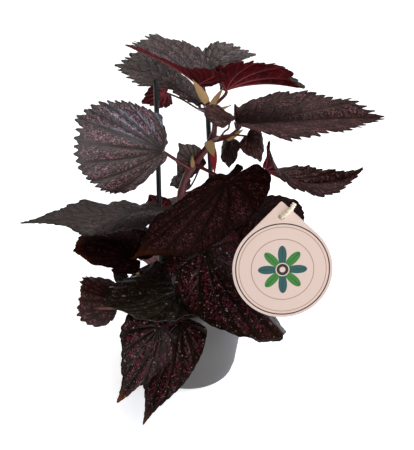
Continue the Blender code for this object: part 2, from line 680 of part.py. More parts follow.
def make_soil(collection, cutters):
    """The soil: it fills the pot, its top is rough, and canes and stakes stand in plain holes."""
    wall = POT_WALL + GAP
    side = pot_outer_radius(SOIL_TOP) - wall
    profile = [(0, SOIL_TOP + SOIL_DOME)]
    for k in range(1, SOIL_RINGS + 1):
        share = k / SOIL_RINGS
        profile.append((side * share, SOIL_TOP + SOIL_DOME * (1 - share ** 2)))
    profile += [
        (pot_outer_radius(POT_HEEL) - wall, POT_HEEL),
        (POT_BASE_RADIUS - POT_HEEL - wall, POT_FLOOR + GAP),
        (0, POT_FLOOR + GAP),
    ]
    soil = turned("soil", profile, collection, "potting_soil")
    draw = np.random.default_rng(7)
    for vert in soil.data.vertices:
        if vert.co.z > SOIL_TOP + 0.1 * MM:
            vert.co.z += draw.uniform(-SOIL_ROUGHNESS, SOIL_ROUGHNESS)
    holes = []
    above = 2 * POT_HEIGHT - SOIL_TOP
    for cane in CANES.values():
        x, y = cane["axis"][0][0] * MM, cane["axis"][0][1] * MM
        lean_x, lean_y = cane["axis"][1][0] * MM, cane["axis"][1][1] * MM
        radius = cane["radii"][0] * MM + max(abs(lean_x - x), abs(lean_y - y)) + HOLE_PLAY
        holes.append(add_cylinder("hole", radius, (x, y, cane["axis"][0][2] * MM - GAP), (x, y, above),
                                  cutters))
    for foot, top in map(stake_ends, STAKES):
        ahead = (top - foot).normalized()
        holes.append(add_cylinder("hole", STAKE_RADIUS + HOLE_PLAY, foot - ahead * GAP,
                                  foot + ahead * (above - STAKE_FOOT), cutters))
    soil = cut_by(soil, holes, collection)
    shade(soil)
    return soil


def stake_ends(name):
    """Foot and top of a stake, which stands near the pot's floor and leans as the pair says."""
    at_soil, at_top, height = STAKES[name]
    soil_end = Vector((*at_soil, SOIL_TOP / MM)) * MM
    top = Vector((*at_top, height)) * MM
    ahead = (top - soil_end) / (top.z - soil_end.z)
    return soil_end + ahead * (STAKE_FOOT - soil_end.z), top


def make_stake(name, collection):
    """A thin round plastic stake."""
    foot, top = stake_ends(name)
    stake = add_cylinder(name, STAKE_RADIUS, foot, top, collection, "stake")
    shade(stake)
    return stake


def tag_matrix():
    """The tag's own axes: X to the right, Y up the tag, Z out of its face."""
    up = np.array((-math.sin(TAG_TURN), math.sin(TAG_LEAN), math.cos(TAG_LEAN)))
    up /= np.linalg.norm(up)
    right = np.cross(up, (0, -1, 0))
    right /= np.linalg.norm(right)
    return axes_matrix(right, up, np.cross(right, up), np.array(TAG_MIDDLE) * MM)


def add_loop(curve, points):
    """A closed straight-sided spline in a flat curve."""
    spline = curve.splines.new("POLY")
    spline.points.add(len(points) - 1)
    spline.use_cyclic_u = True
    for point, (x, y) in zip(spline.points, points):
        point.co = (x, y, 0, 1)


def make_tag(collection):
    """The card tag: a disc drawn out to a rounded point, with a hole for the tie."""
    curve = bpy.data.curves.new("tag", "CURVE")
    curve.dimensions = "2D"
    curve.fill_mode = "BOTH"
    curve.extrude = TAG_THICKNESS / 2
    tip_middle = TAG_POINT - TAG_POINT_ROUNDING
    side = math.acos((TAG_RADIUS - TAG_POINT_ROUNDING) / tip_middle)
    outline = []
    for k in range(TAG_POINT_STEPS + 1):
        turn = math.pi / 2 - side + 2 * side * k / TAG_POINT_STEPS
        outline.append((TAG_POINT_ROUNDING * math.cos(turn),
                        tip_middle + TAG_POINT_ROUNDING * math.sin(turn)))
    for k in range(TAG_DISC_STEPS + 1):
        turn = math.pi / 2 + side + (2 * math.pi - 2 * side) * k / TAG_DISC_STEPS
        outline.append((TAG_RADIUS * math.cos(turn), TAG_RADIUS * math.sin(turn)))
    add_loop(curve, outline)
    hole = []
    for k in range(TAG_HOLE_STEPS):
        turn = 2 * math.pi * k / TAG_HOLE_STEPS
        hole.append((TAG_HOLE_RADIUS * math.cos(turn), TAG_HOLE_HEIGHT + TAG_HOLE_RADIUS * math.sin(turn)))
    add_loop(curve, hole)
    tag = add_object("tag", curve, collection, "tag_card")
    tag.matrix_world = tag_matrix()
    bpy.context.view_layer.update()
    return as_mesh(tag, collection)


def make_tie(collection):
    """The tie: one loop of cord through the tag's hole, over its edge and round a petiole."""
    place = tag_matrix()
    route = [np.array(place @ (Vector(point) * MM)) for point in TIE_ON_TAG]
    route += [np.array(point) * MM for point in TIE_ON_PLANT]
    route += [np.array(place @ (Vector(point) * MM)) for point in TIE_BEHIND_TAG]
    points = smooth_route(route, CURVE_STEPS, closed=True)
    tie = make_tube("tag_tie", points, [TIE_RADIUS] * len(points), 1, collection, "tie", closed=True)
    shade(tie)
    return tie


def main():
    for obj in list(bpy.data.objects):
        bpy.data.objects.remove(obj)
    scene = bpy.context.scene
    plant = bpy.data.collections.new("potted_begonia")
    cutters = bpy.data.collections.new("cutters")
    scene.collection.children.link(plant)
    scene.collection.children.link(cutters)

    make_pot(plant, cutters)
    make_soil(plant, cutters)
    for name in STAKES:
        make_stake(name, plant)
    blades = {blade["name"]: blade for blade in LEAVES}
    for blade in LEAVES:
        make_leaf(blade, plant)
    for name, cane in CANES.items():
        make_cane(name, cane, blades, plant)
    for name, (base, tip, width, material) in SCALES.items():
        make_scale(name, base, tip, width, material, plant)
    make_tag(plant)
    make_tie(plant)


main()
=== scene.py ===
import math

import bmesh
import bpy
import numpy as np
from mathutils import Matrix, Vector


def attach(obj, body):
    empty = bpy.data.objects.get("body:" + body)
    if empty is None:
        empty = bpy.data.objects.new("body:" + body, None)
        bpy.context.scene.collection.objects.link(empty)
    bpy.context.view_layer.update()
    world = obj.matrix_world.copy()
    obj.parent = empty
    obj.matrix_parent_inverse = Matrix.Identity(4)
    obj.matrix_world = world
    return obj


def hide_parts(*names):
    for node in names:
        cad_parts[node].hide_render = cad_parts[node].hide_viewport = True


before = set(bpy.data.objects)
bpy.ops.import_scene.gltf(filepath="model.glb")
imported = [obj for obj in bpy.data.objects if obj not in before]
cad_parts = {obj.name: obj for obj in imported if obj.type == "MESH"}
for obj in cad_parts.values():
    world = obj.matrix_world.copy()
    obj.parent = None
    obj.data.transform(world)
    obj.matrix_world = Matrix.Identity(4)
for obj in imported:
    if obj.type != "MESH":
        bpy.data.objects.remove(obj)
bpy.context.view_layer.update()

bl_info = {
    "name": "Potted Begonia",
    "version": (1, 0, 0),
    "blender": (4, 5, 0),
    "location": "View3D > Sidebar > Begonia",
    "description": "Dresses a begonia in its pot: leaves, canes, stipules, soil, stakes and tag",
    "category": "Object",
}

BODY = "root"
MM = 0.001
MERGE = 0.005 * MM

# The blades' forms, as the solids have them. Half outlines: the distance from the stem's end
# for a direction in degrees, 0 towards the tip, as a share of the midrib's length.
LONG_OUTLINE = ((0, 1.0), (3, 0.90), (7, 0.80), (14, 0.70), (26, 0.615), (42, 0.56), (62, 0.51),
                (90, 0.455), (118, 0.43), (142, 0.41), (160, 0.36), (172, 0.25), (180, 0.12))
ROUND_OUTLINE = ((0, 1.0), (3, 0.965), (7, 0.935), (14, 0.915), (26, 0.90), (42, 0.875), (62, 0.83),
                 (90, 0.74), (118, 0.64), (142, 0.53), (160, 0.41), (172, 0.26), (180, 0.12))
BLADE_CURL = -25
BLADE_WAVE = 0.02
BLADE_WAVES = 7
NOTCH = 8

# Main veins: their directions at the stem's end, and how far they bend towards the tip.
VEIN_ANGLES = (0, 20, 43, 70, 102, 138, 176, 220)
VEIN_BEND = 0.2
SIDE_VEIN_PITCH = 9 * MM
SIDE_VEIN_SLANT = 1.1

# The margin: how far apart the large teeth are and how unlike in depth, where along each its peak
# lies, the small teeth on each and their share of its depth, and the band that the teeth cut into.
TOOTH_SPACING = 8 * MM
TOOTH_DEPTHS = (0.55, 1.15)
FEWEST_TEETH = 6
TOOTH_PEAK = 0.72
SMALL_TEETH = 3
SMALL_TOOTH_SHARE = 0.25
MARGIN = (0.84, 1.0)
LARGE_LEAF = 45 * MM
LARGE_GRID = (216, 26)
SMALL_GRID = (108, 12)

# The blade's relief: how round its bulges between main veins are and where on the way out they
# begin, the same for the lower ones between side veins, which also keep clear of the main veins,
# the margin's two waves, and the leaf from whose size on all of it is at full height.
BULGE_ROUNDING = 0.7
BULGING = (0.02, 0.35)
QUILT_ROUNDING = 0.8
QUILTED = (0.1, 0.4)
QUILT_SHARE = 0.45
QUILT_CLEARANCE = 3 * MM
RUFFLE_WAVES = (11, 23)
SECOND_RUFFLE = 0.7
RUFFLED = (0.7, 1.0)
FULL_RELIEF_LEAF = 80 * MM

# The upper skin: how far its cells' outlines waver, the distances from a main vein, from a side
# vein and from the edge (a share of the way out) over which its spots come in, how wide the painted
# shade in the groove of a main vein and the dip on a side vein are, its dark rim, and its height.
CELL_WANDER = 1.1 * MM
CLEAR_OF_MAIN = (0.8 * MM, 3.2 * MM)
CLEAR_OF_SIDE = (0.2 * MM, 0.9 * MM)
CLEAR_OF_EDGE = (0.985, 0.88)
MAIN_VEIN_SHADE = (1.2 * MM, 0.2 * MM)
SIDE_FURROW = 1.6 * MM
DARK_RIM = (0.955, 1.0)
CELL_HEIGHT = 0.4 * MM

# The underside: how wide the pink lines on main and side veins are, and their ribs' widths and
# height.
MAIN_LINE = (0.9 * MM, 0.3 * MM)
SIDE_LINE = (0.45 * MM, 0.1 * MM)
MAIN_RIB = 1.6 * MM
SIDE_RIB = 0.8 * MM
RIB_HEIGHT = 0.5 * MM

# Where along the leaf an old tip turns, and how much earlier it does at each further vein.
TINTED = (0.8, 1.04)
TINT_STEP = 0.08


def leaf(name, base, tip, roll=0, arch=-30, fold=(5, 5), width=(0.85, 0.85), lobes=(0.5, 0.5),
         roundness=0.5, twist=0, taper=(0, 0), curl=BLADE_CURL, look="upper", teeth=0.05, tint=0.0):
    """One leaf blade: base and tip are the midrib's ends in mm, angles are in degrees, and each
    pair is (left, right) seen from the stem's end with the upper side up. teeth is their depth as
    a share of the leaf, and tint how far the tip has turned orange-brown."""
    return dict(name=name, base=np.array(base) * MM, tip=np.array(tip) * MM, roll=math.radians(roll),
                arch=math.radians(arch), fold=fold, width=width, lobes=lobes, roundness=roundness,
                twist=math.radians(twist), taper=taper, curl=curl, look=look, teeth=teeth, tint=tint)


LEAVES = (
    leaf("leaf_crown_near", (9, 12, 282), (-53, -1, 319), roll=-35, arch=-35, fold=(92, 10),
         width=(0.62, 0.95), lobes=(0.25, 0.3), roundness=1.0, twist=25, taper=(0.93, 0), teeth=0.16),
    leaf("leaf_crown_left", (11, 33, 260.5), (-68, 40, 291.8), roll=10, fold=(15, 15),
         width=(0.55, 0.85), lobes=(0.15, 0.15), roundness=1.15, twist=-30, teeth=0.13),
    leaf("leaf_crown_left_back", (-19, 42, 267), (-43, 40, 257), roll=70, arch=-20, width=(0.9, 0.9),
         lobes=(0.3, 0.3), roundness=0.6, twist=-5, teeth=0.13),
    leaf("leaf_crown_back", (19, 45, 289), (66, 60, 297), roll=50, arch=-50, fold=(-15, 0),
         width=(1.1, 0.3), lobes=(0.15, 0.15), roundness=0.2, twist=20, look="pale", teeth=0.17),
    leaf("leaf_crown_right", (35, 8, 278), (103, -9, 282), roll=-15, arch=-40, fold=(55, 60),
         width=(0.35, 0.5), lobes=(0.2, 0.05), roundness=1.0, twist=10, teeth=0.15),
    leaf("leaf_upper_left", (-18, -50, 244), (-83, -86, 284), roll=-80, fold=(-25, -25),
         width=(0.85, 0.5), lobes=(0.3, 0.15), roundness=1.15, curl=-15, look="spotted", teeth=0.1),
    leaf("leaf_upper_right", (46, -20, 255), (171, -20, 263), roll=5, arch=-5, fold=(15, 30),
         width=(0.5, 0.7), lobes=(0.1, 0.1), roundness=0.75, twist=25, look="shaded", teeth=0.11),
    leaf("leaf_middle_right", (71, 12, 203), (157, -9, 216), roll=-30, arch=70, fold=(28, 36),
         width=(0.4, 0.9), lobes=(0.1, 0.1), roundness=0.4, twist=100, look="middle", teeth=0.07,
         tint=0.1),
    leaf("leaf_middle_left", (-46, -30, 180), (-141, -54, 182), roll=5, arch=5, fold=(15, 5),
         width=(1.0, 1.0), lobes=(1.0, 0.75), roundness=0, twist=-20, look="plain", teeth=0.035),
    leaf("leaf_inner_left", (-51, -30, 136), (-99, -45, 150), roll=-20, arch=-10, fold=(5, 10),
         width=(0.45, 1.15), lobes=(0.45, 1.2), roundness=1.15, twist=15, look="front", teeth=0.03,
         tint=0.35),
    leaf("leaf_inner_right", (66, 25, 155), (105, -9, 142), roll=20, arch=-15, fold=(10, 0),
         width=(1.0, 1.15), lobes=(0.5, 0.6), roundness=0.8, twist=10, look="front", teeth=0.04),
    leaf("leaf_lower_left", (-68, -30, 95), (-95, -47, 116), roll=-50, arch=30, fold=(-25, -10),
         width=(1.05, 0.85), lobes=(0.45, 0.4), roundness=1.1, twist=10, look="middle", teeth=0.13,
         tint=0.35),
    leaf("leaf_front_upper", (34, -50, 216), (-41, -116, 178), roll=-5, arch=-5, fold=(0, -10),
         width=(0.55, 0.3), lobes=(0.75, 0.6), roundness=0.75, twist=-25, look="front", teeth=0.02,
         tint=0.2),
    leaf("leaf_front_middle", (16, -62, 159), (78, -124, 110), roll=5, arch=15, fold=(-10, -20),
         width=(0.95, 0.5), lobes=(0.45, 0.55), roundness=1.15, twist=-25, look="low", teeth=0.02,
         tint=0.05),
    leaf("leaf_front_lower", (1, -60, 123), (-74, -108, 131), arch=35, fold=(5, 14), width=(0.65, 1.0),
         lobes=(0.35, 0.35), twist=5, look="glossy", teeth=0.025, tint=0.9),
    leaf("leaf_hanging_left", (-22, -95, 105), (-56, -135, 57), roll=-70, fold=(-5, 0),
         width=(0.95, 0.9), lobes=(0.15, 0.15), roundness=0.05, twist=-5, look="low", teeth=0.03,
         tint=0.7),
    leaf("leaf_hanging_right", (-5, -67, 93), (-38, -107, 12), roll=-40, arch=-35, fold=(0, 0),
         width=(0.5, 0.45), lobes=(0.15, 0.15), roundness=0.3, twist=15, look="low", teeth=0.025,
         tint=0.45),
    leaf("leaf_young_fork", (36, -50, 269), (15, -43, 278), arch=-10, fold=(15, 10), width=(0.95, 1.05),
         lobes=(0.2, 0.2), roundness=1.1, twist=-10, look="middle", teeth=0.04),
    leaf("leaf_young_right", (51, -40, 253), (62, -41, 230), roll=20, arch=-40, fold=(20, 5),
         width=(1.05, 1.0), lobes=(0.2, 0.2), look="middle", tint=0.4),
    leaf("leaf_young_under", (39, 5, 232), (38, -1, 210), roll=50, fold=(15, 10), width=(0.9, 1.0),
         lobes=(0.4, 0.4), roundness=0.85, twist=-5, look="middle"),
    leaf("leaf_young_left", (7, 11, 211), (-8, 10, 231), roll=-65, arch=10, fold=(0, 5),
         width=(1.05, 0.95), lobes=(0.1, 0.1), roundness=0.4, look="young", teeth=0.06),
    leaf("leaf_young_inner", (9, 32, 212), (-10, 28, 184), roll=-20, fold=(0, 5), width=(0.7, 0.9),
         lobes=(0.15, 0.15), roundness=0.65, teeth=0.06),
    leaf("leaf_young_inner_left", (-2, 36, 186), (-18, 32, 180), roll=-20, fold=(-5, 5),
         width=(1.0, 1.0), lobes=(0.4, 0.4), roundness=0.65, teeth=0.07),
    leaf("leaf_young_low", (-26, 16, 163), (-35, 7, 182), roll=55, arch=-25, fold=(5, 0),
         width=(1.0, 1.0), lobes=(0.2, 0.2), roundness=0.45, look="middle", teeth=0.07),
    leaf("leaf_young_side", (-56, -20, 110), (-70, -21, 120), roll=-10, fold=(-5, 5), width=(1.0, 1.0),
         lobes=(0.3, 0.3), roundness=0.75, look="plain", teeth=0.06),
    leaf("leaf_back_high", (12, 42, 164), (30, 130, 126), roll=-10, roundness=0.35, teeth=0.04),
    leaf("leaf_back_left", (-20, 38, 148), (-60, 108, 116), roll=10, fold=(10, 5), roundness=0.3,
         teeth=0.04, tint=0.3),
    leaf("leaf_back_right", (52, 54, 130), (108, 98, 104), roll=5, fold=(5, 10), look="middle",
         teeth=0.04, tint=0.3),
    leaf("leaf_back_side", (-42, 36, 118), (-94, 66, 102), roll=-10, arch=-25, fold=(10, 10),
         roundness=0.6, look="middle", teeth=0.04, tint=0.3),
    leaf("leaf_back_middle", (2, 52, 124), (4, 134, 82), roll=5, fold=(10, 10), roundness=0.3,
         look="middle", teeth=0.035, tint=0.5),
    leaf("leaf_back_low_right", (46, 50, 110), (70, 100, 56), roll=-20, arch=-25, roundness=0.3,
         look="low", teeth=0.03, tint=0.6),
    leaf("leaf_back_low_left", (-24, 60, 100), (-40, 104, 46), roll=20, arch=-25, roundness=0.3,
         look="low", teeth=0.03, tint=0.6),
)

# How finely the tubes are drawn: their steps between two points and their bevel's resolution.
CANE_STEPS, CANE_RESOLUTION = 10, 6
PETIOLE_STEPS, PETIOLE_RESOLUTION = 6, 4
STAKE_RESOLUTION = 6
TIE_STEPS, YARN_RESOLUTION = 8, 3

# The canes' and scales' forms, as the solids have them.
PETIOLE_RADIUS = 1.4 * MM
SMALL_PETIOLE_RADIUS = 0.8 * MM
PETIOLE_PULL = 0.4
PETIOLE_REACH = 6 * MM
PETIOLE_REACH_SHARE = 0.2
PETIOLE_GAP = 0.2 * MM


def petiole(leaf_name, start, via=(), lean=45):
    """A leaf's stalk: it leaves the cane at height start (mm), may pass through the via points
    (mm) and meets the blade's underside leaning back by lean degrees."""
    return dict(leaf=leaf_name, start=start * MM, via=[np.array(point) * MM for point in via],
                lean=math.radians(lean))


# Each cane: the points of its axis (mm), its radius at those points (mm), and its petioles.
CANES = {
    "cane_main": dict(
        axis=((-2, 0, 40), (-3, 0, 100), (-5, 0, 150), (-5.4, 0, 185), (3.4, 0, 209), (21, 0, 234),
              (24.5, 0, 252), (19, 4, 268)),
        radii=(3.2, 3.2, 3.2, 3.1, 3.3, 2.9, 2.2, 2.6),
        petioles=(
            petiole("leaf_crown_near", 265, via=((15, 0, 272),)),
            petiole("leaf_crown_left", 262, via=((12, 14, 260),)),
            petiole("leaf_crown_left_back", 258, via=((11, 24, 256.5), (-4, 37, 262))),
            petiole("leaf_crown_back", 267),
            petiole("leaf_crown_right", 264, via=((27, 10, 267),)),
            petiole("leaf_upper_left", 209, via=((-14, -20, 229),)),
            petiole("leaf_upper_right", 235),
            petiole("leaf_middle_right", 184),
            petiole("leaf_front_upper", 214),
            petiole("leaf_young_fork", 236, via=((28, -24, 246), (32, -44, 258)), lean=20),
            petiole("leaf_young_right", 236),
            petiole("leaf_young_under", 240),
            petiole("leaf_young_left", 205),
            petiole("leaf_young_inner", 188, via=((3, 17, 186), (12, 36, 199))),
            petiole("leaf_young_inner_left", 180, via=((-6, 16, 174),)),
        )),
    "cane_left": dict(
        axis=((-14, -17, 40), (-13.5, -17, 90), (-12, -18, 130), (-12, -17, 160)),
        radii=(2.6, 2.6, 2.4, 2.0),
        petioles=(
            petiole("leaf_middle_left", 157),
            petiole("leaf_inner_left", 94, via=((-28, -18, 100), (-42, -21, 117))),
            petiole("leaf_lower_left", 96, via=((-36, -18, 103), (-56, -19, 99), (-65, -21, 90))),
            petiole("leaf_young_low", 138),
            petiole("leaf_young_side", 98),
        )),
    "cane_front": dict(
        axis=((0, -23, 40), (0, -23, 90), (2, -27, 112), (4, -32, 134)),
        radii=(2.6, 2.6, 2.4, 2.0),
        petioles=(
            petiole("leaf_front_middle", 132),
            petiole("leaf_front_lower", 108),
            petiole("leaf_hanging_left", 96, via=((-8, -50, 103), (-20, -78, 106))),
            petiole("leaf_hanging_right", 94, via=((3, -46, 101), (0, -58, 100.5)), lean=70),
        )),
    "cane_back": dict(
        axis=((12, 27, 40), (12, 27, 90), (13, 29, 112), (12, 31, 138)),
        radii=(2.8, 2.8, 2.6, 2.2),
        petioles=(
            petiole("leaf_inner_right", 130, via=((30, 32, 142), (50, 34, 149))),
            petiole("leaf_back_high", 136),
            petiole("leaf_back_left", 118),
            petiole("leaf_back_right", 122, via=((24, 36, 133), (40, 45, 135))),
            petiole("leaf_back_side", 104),
            petiole("leaf_back_middle", 100),
            petiole("leaf_back_low_right", 96),
            petiole("leaf_back_low_left", 94),
        )),
}

# Stipules and a bract: base and tip (mm), width (mm), material.
SCALES = {
    "stipule_crown_left": ((18, -2.6, 270.3), (6, -2.6, 290.3), 8, "stipule"),
    "stipule_crown_right": ((21.4, -0.6, 266.5), (31.5, -11, 285.5), 5, "stipule"),
    "stipule_crown_small": ((25.2, 1.8, 261.6), (39, 0, 267.5), 3, "stipule"),
    "stipule_fork_left": ((19, -7.5, 238), (24, -8.5, 224), 9, "stipule"),
    "stipule_fork_right": ((35, -10.5, 239.8), (49.5, -13, 250.5), 5, "stipule"),
    "stipule_node": ((5.5, -4.2, 212.6), (5, -4.7, 223.6), 4, "stipule"),
    "stipule_low": ((-38, -17, 109), (-50, -20, 118), 4, "stipule"),
    "bract_hanging": ((22.5, -3.9, 231), (25, -3.4, 206), 7, "bract"),
}
SCALE_HOLLOW = 0.25
SCALE_BLUNTNESS = 0.12
SCALE_FULLNESS = 0.7

# What only the dressed plant has: a cane's swollen nodes, the taper and widened foot of each
# petiole, and a scale's deeper hollow, ribs, curl, torn edge and thickness.
NODE_REACH = 1.6 * MM
NODE_LIMIT = 1.3
PETIOLE_TAPER = 0.05
PETIOLE_FLARE = 0.35
PETIOLE_FLARE_REACH = 0.12
SCALE_GRID = (36, 14)
SCALE_THICKNESS = 0.35 * MM
SCALE_DEEPER = 1.4
SCALE_TEAR = (0.94, 1.03)
SCALE_RIB = 0.12 * MM
SCALE_RIBS = 40
SCALE_CURL = 0.6 * MM

# The pot, soil, stakes and tag, as the solids have them.
POT_HEIGHT = 92 * MM
POT_BASE_RADIUS = 43.5 * MM
POT_TAPER = math.radians(8.9)
POT_HEEL = 8 * MM
POT_WALL = 1.5 * MM
POT_FLOOR = 2 * MM
POT_BAND_HEIGHT = 8 * MM
POT_BAND_STEP = 1.2 * MM
DRAIN_HOLES = 6
DRAIN_RADIUS = 4 * MM
DRAIN_CIRCLE = 26 * MM
SOIL_TOP = 83 * MM
SOIL_DOME = 2 * MM
STAKE_RADIUS = 2.2 * MM
STAKE_FOOT = 14 * MM
# A stake's rounded ends: shares of its length, and of its radius there.
STAKE_FOOT_FORM = ((0, 0.5), (0.006, 0.9))
STAKE_TOP_FORM = ((0.992, 0.93), (0.997, 0.72), (1, 0.35))
STAKES = {
    "stake_left": ((-24.8, -5), (-24.8, -5), 291),
    "stake_right": ((26.8, 20), (18.5, 20), 258),
}
TAG_MIDDLE = (76, -118, 171.5)
TAG_LEAN = math.radians(12)
TAG_TURN = math.radians(2)
TAG_RADIUS = 38.5 * MM
TAG_POINT = 53 * MM
TAG_POINT_ROUNDING = 1.5 * MM
TAG_THICKNESS = 0.8 * MM
TAG_HOLE_HEIGHT = 41.5 * MM
TAG_HOLE_RADIUS = 2.5 * MM

# What only the dressed pot and soil have: a softened lip, sharp edges where the shape turns
# further than this, and lumps, grain and loose crumbs, whose ranges are in mm or shares.
POT_LIP = 0.5 * MM
POT_STEPS = 128
SHARP_TURN = math.radians(35)
SHARP_STEM_TURN = math.radians(50)
SOIL_STEPS = 96
SOIL_GAP = 0.4 * MM
SOIL_LIFT = 0.3 * MM
SOIL_HEEL = 2 * MM
SOIL_SEED = 11
SOIL_LUMPS = 40
LUMP_HEIGHTS = (-1.2, 1.4)
LUMP_REACH = 6 * MM
SOIL_GRAIN = 0.35
CRUMB_SIZES = (0.5, 1.7)
CRUMB_LIFTS = (0, 0.8)
CRUMB_STRETCHES = (0.6, 1.5)
CRUMB_FLATNESS = (0.5, 0.9)
CRUMB_CIRCLE = 0.97

# The rosette on the tag, whose petals take turns in two colours, and the printed rings: radius
# and half width in mm, ink.
PETAL_PAIRS = 4.0
PETAL_SEAM = 0.05
PETAL_LINE = (0.10, 0.04)
PETAL_FOOT = 7 * MM
PETAL_TIP = 19 * MM
ROSETTE_EYE = 5.2 * MM
INK_EDGE = 0.25 * MM
RING_EDGE = 0.12 * MM
RINGS = ((36.0, 0.42, "line"), (33.5, 0.22, "band"), (24.0, 0.25, "band"), (3.4, 1.1, "line"))

# The tie's loop, from its knot behind the tag round a petiole and back through the hole. The
# points on the plant are places in the frame, and those at the tag are (right, up, out) from the
# tag's middle, on its own face, all in mm.
TIE_ON_PLANT = ((79.4, -94, 190), (78, -86, 176), (73, -64, 146), (69, -38, 130), (65.5, -14, 121),
                (60, 4, 124), (54, 16, 133), (51, 26.5, 143), (50.3, 29.2, 149.6), (50, 34, 153.8),
                (50, 38.8, 149.4), (51, 35, 143.6), (55, 19, 128), (62, 2, 118.5), (68.5, -16, 115.5),
                (72, -38, 125), (75, -64, 142), (77, -88, 178))
TIE_AT_TAG = ((0, 39.5, -5.5), (0, 41.3, 0), (2.2, 43.5, 2.9), (6, 47, 3.1), (9.5, 50, 0),
              (8.5, 48.5, -4.6))
TIE_BACK = ((82, -100, 205), (80.6, -95.8, 193.5))

# The tie's twist: each yarn's share of its radius and how far out it runs. The knot is a trefoil of
# this size and depth in a thinner cord, and the tie's ends lead into it.
TWIST_PITCH = 7 * MM
TWIST_REFERENCE = (0.3, 0.2, 0.93)
YARN_SHARE = 0.54
YARN_OFFSET = 0.46
KNOT_SIZE = 1.1 * MM
KNOT_DEPTH = 1.2
KNOT_CORD = 0.75
KNOT_END = ((3, 4, -10), (2, 2, -6), (1, 0.5, -2.5))

# The photograph's view.
CAMERA_PLACE = (0.018, -0.646, 0.4525)
CAMERA_PITCH = math.radians(65.25)
CAMERA_SENSOR = 36
CAMERA_LENS = 62.16
CAMERA_NEAR = 0.01

# The floor lights itself a little, and the surround is weaker at the sides than above.
FLOOR_SIZE = 15
FLOOR_GLOW = 0.66
SURROUND_SIDES = 0.25
SKYLIGHT_PLACE = (-0.1, 0.5, 1.0)
SKYLIGHT_ANGLE = math.radians(40)
WINDOW_PLACE = (0.95, -0.15, 0.72)
WINDOW_TARGET = (0, 0, 0.2)
WINDOW_SIZE = 0.4
WINDOW_TONE = "#cfe0ff"
FILL_PLACE = (0.55, -1.2, 1.15)
FILL_TARGET = (0, 0, 0.15)
FILL_SIZE = 0.9


def look(tone, spots, strength, gloss, specular, lift, spot="spots", coat=0.0, stem_shade=0.0, painted_glint=0.0):
    """One look of a leaf's upper side. tone and spot are the settings that colour it and its spots,
    spots the share of its cells with a spot and strength how strong they are, gloss, specular and
    coat how it takes the light, lift how much lighter its pale clouds are, and the last two how much
    painted shade darkens it round the stem's end and how bright the painted glints on a few cells are."""
    return dict(tone=tone, spots=spots, strength=strength, gloss=gloss, specular=specular, lift=lift,
                spot=spot, coat=coat, stem_shade=stem_shade, painted_glint=painted_glint)


LOOKS = {
    "upper": look("upper", spots=0.8, strength=0.55, gloss=0.5, specular=0.25, lift=1.6),
    # pale: the upper look lightened with painted light, for the back leaf that faces up into the light.
    "pale": look("upper", spots=0.6, strength=0.4, gloss=0.5, specular=0.4, lift=2.4),
    "young": look("upper", spots=0.8, strength=0.6, gloss=0.45, specular=0.4, lift=3.6),
    "spotted": look("upper", spots=1.0, strength=0.8, gloss=0.4, specular=0.3, lift=0.8, coat=0.25),
    "plain": look("plain", spots=0.75, strength=0.3, gloss=0.5, specular=0.15, lift=1.3),
    # shaded: its darkening round the stem's end is painted shade.
    "shaded": look("middle", spots=0.75, strength=0.4, gloss=0.5, specular=0.12, lift=2.6, stem_shade=0.9),
    "middle": look("middle", spots=0.7, strength=0.5, gloss=0.5, specular=0.12, lift=1.9),
    "front": look("front", spots=0.9, strength=0.8, gloss=0.6, specular=0.03, lift=1.6,
                  spot="dim_spots"),
    "low": look("low", spots=1.0, strength=1.0, gloss=0.42, specular=0.03, lift=1.6, spot="low_spots",
                coat=0.12, painted_glint=0.7),
    "glossy": look("olive", spots=0.5, strength=0.35, gloss=0.35, specular=0.08, lift=2.2,
                   spot="low_spots", coat=0.35, painted_glint=0.9),
}

# Settings that many of the shader nodes share.
SMOOTH = dict(interpolation_type="SMOOTHSTEP")
BLEND = dict(data_type="RGBA")
TIMES = dict(operation="MULTIPLY")


def linear(code):
    """Turn a #rrggbb colour into linear RGBA."""
    channels = [int(code[i:i + 2], 16) / 255 for i in (1, 3, 5)]
    return (*[c / 12.92 if c <= 0.04045 else ((c + 0.055) / 1.055) ** 2.4 for c in channels], 1.0)


def colour(name, code, description):
    """A colour that a user may change."""
    return bpy.props.FloatVectorProperty(name=name, description=description, subtype="COLOR", size=4,
                                         min=0, max=1, default=linear(code))


def length(name, value, description):
    """A size that a user may change, in metres."""
    return bpy.props.FloatProperty(name=name, description=description, subtype="DISTANCE",
                                   unit="LENGTH", default=value, min=0, precision=4)


class LeafSettings(bpy.types.PropertyGroup):
    thickness: length("Thickness", 0.5 * MM, "How thick the blades are")
    relief: length("Relief", 1.3 * MM, "How far the blade rises between its main veins")
    ruffle: length("Ruffle", 0.9 * MM, "How far the margin waves up and down")
    spot_size: length("Spot spacing", 1.8 * MM, "How far apart the spots are")
    # The tones by place are partly the leaves' own colours and partly painted light: the upper tone is
    # greyed by a painted sheen, and the front tone darkened to near black by painted shade.
    upper: colour("Upper leaves", "#41352f", "Grey-green brown of the upper leaves")
    plain: colour("Even leaves", "#38302b", "Grey brown of the leaf at the left")
    middle: colour("Middle leaves", "#321a15", "Warm dark brown of the leaves at mid height")
    front: colour("Front leaves", "#1b0805", "Near-black brown of the leaves at the front")
    low: colour("Low leaves", "#1a0f06", "Black-green of the lowest leaves")
    olive: colour("Olive leaf", "#1e1c10", "Green-black of the lowest front leaf")
    spots: colour("Spots", "#b07684", "Pink of the spots between the veins")
    dim_spots: colour("Dim spots", "#5c2e31", "Brown-red of the front leaves' spots")
    low_spots: colour("Low spots", "#70243a", "Wine red of the low leaves' spots")
    # Painted glints: silver-white highlights painted on a few cells.
    painted_glint: colour("Silver spots", "#b8a4a4", "Silver-white of the few bright spots")
    tips: colour("Old tips", "#8a4012", "Orange-brown of old leaf tips")
    underside: colour("Underside", "#55050e", "Deep red of the undersides")
    veins: colour("Veins below", "#a84a52", "Pink of the raised veins under the leaves")


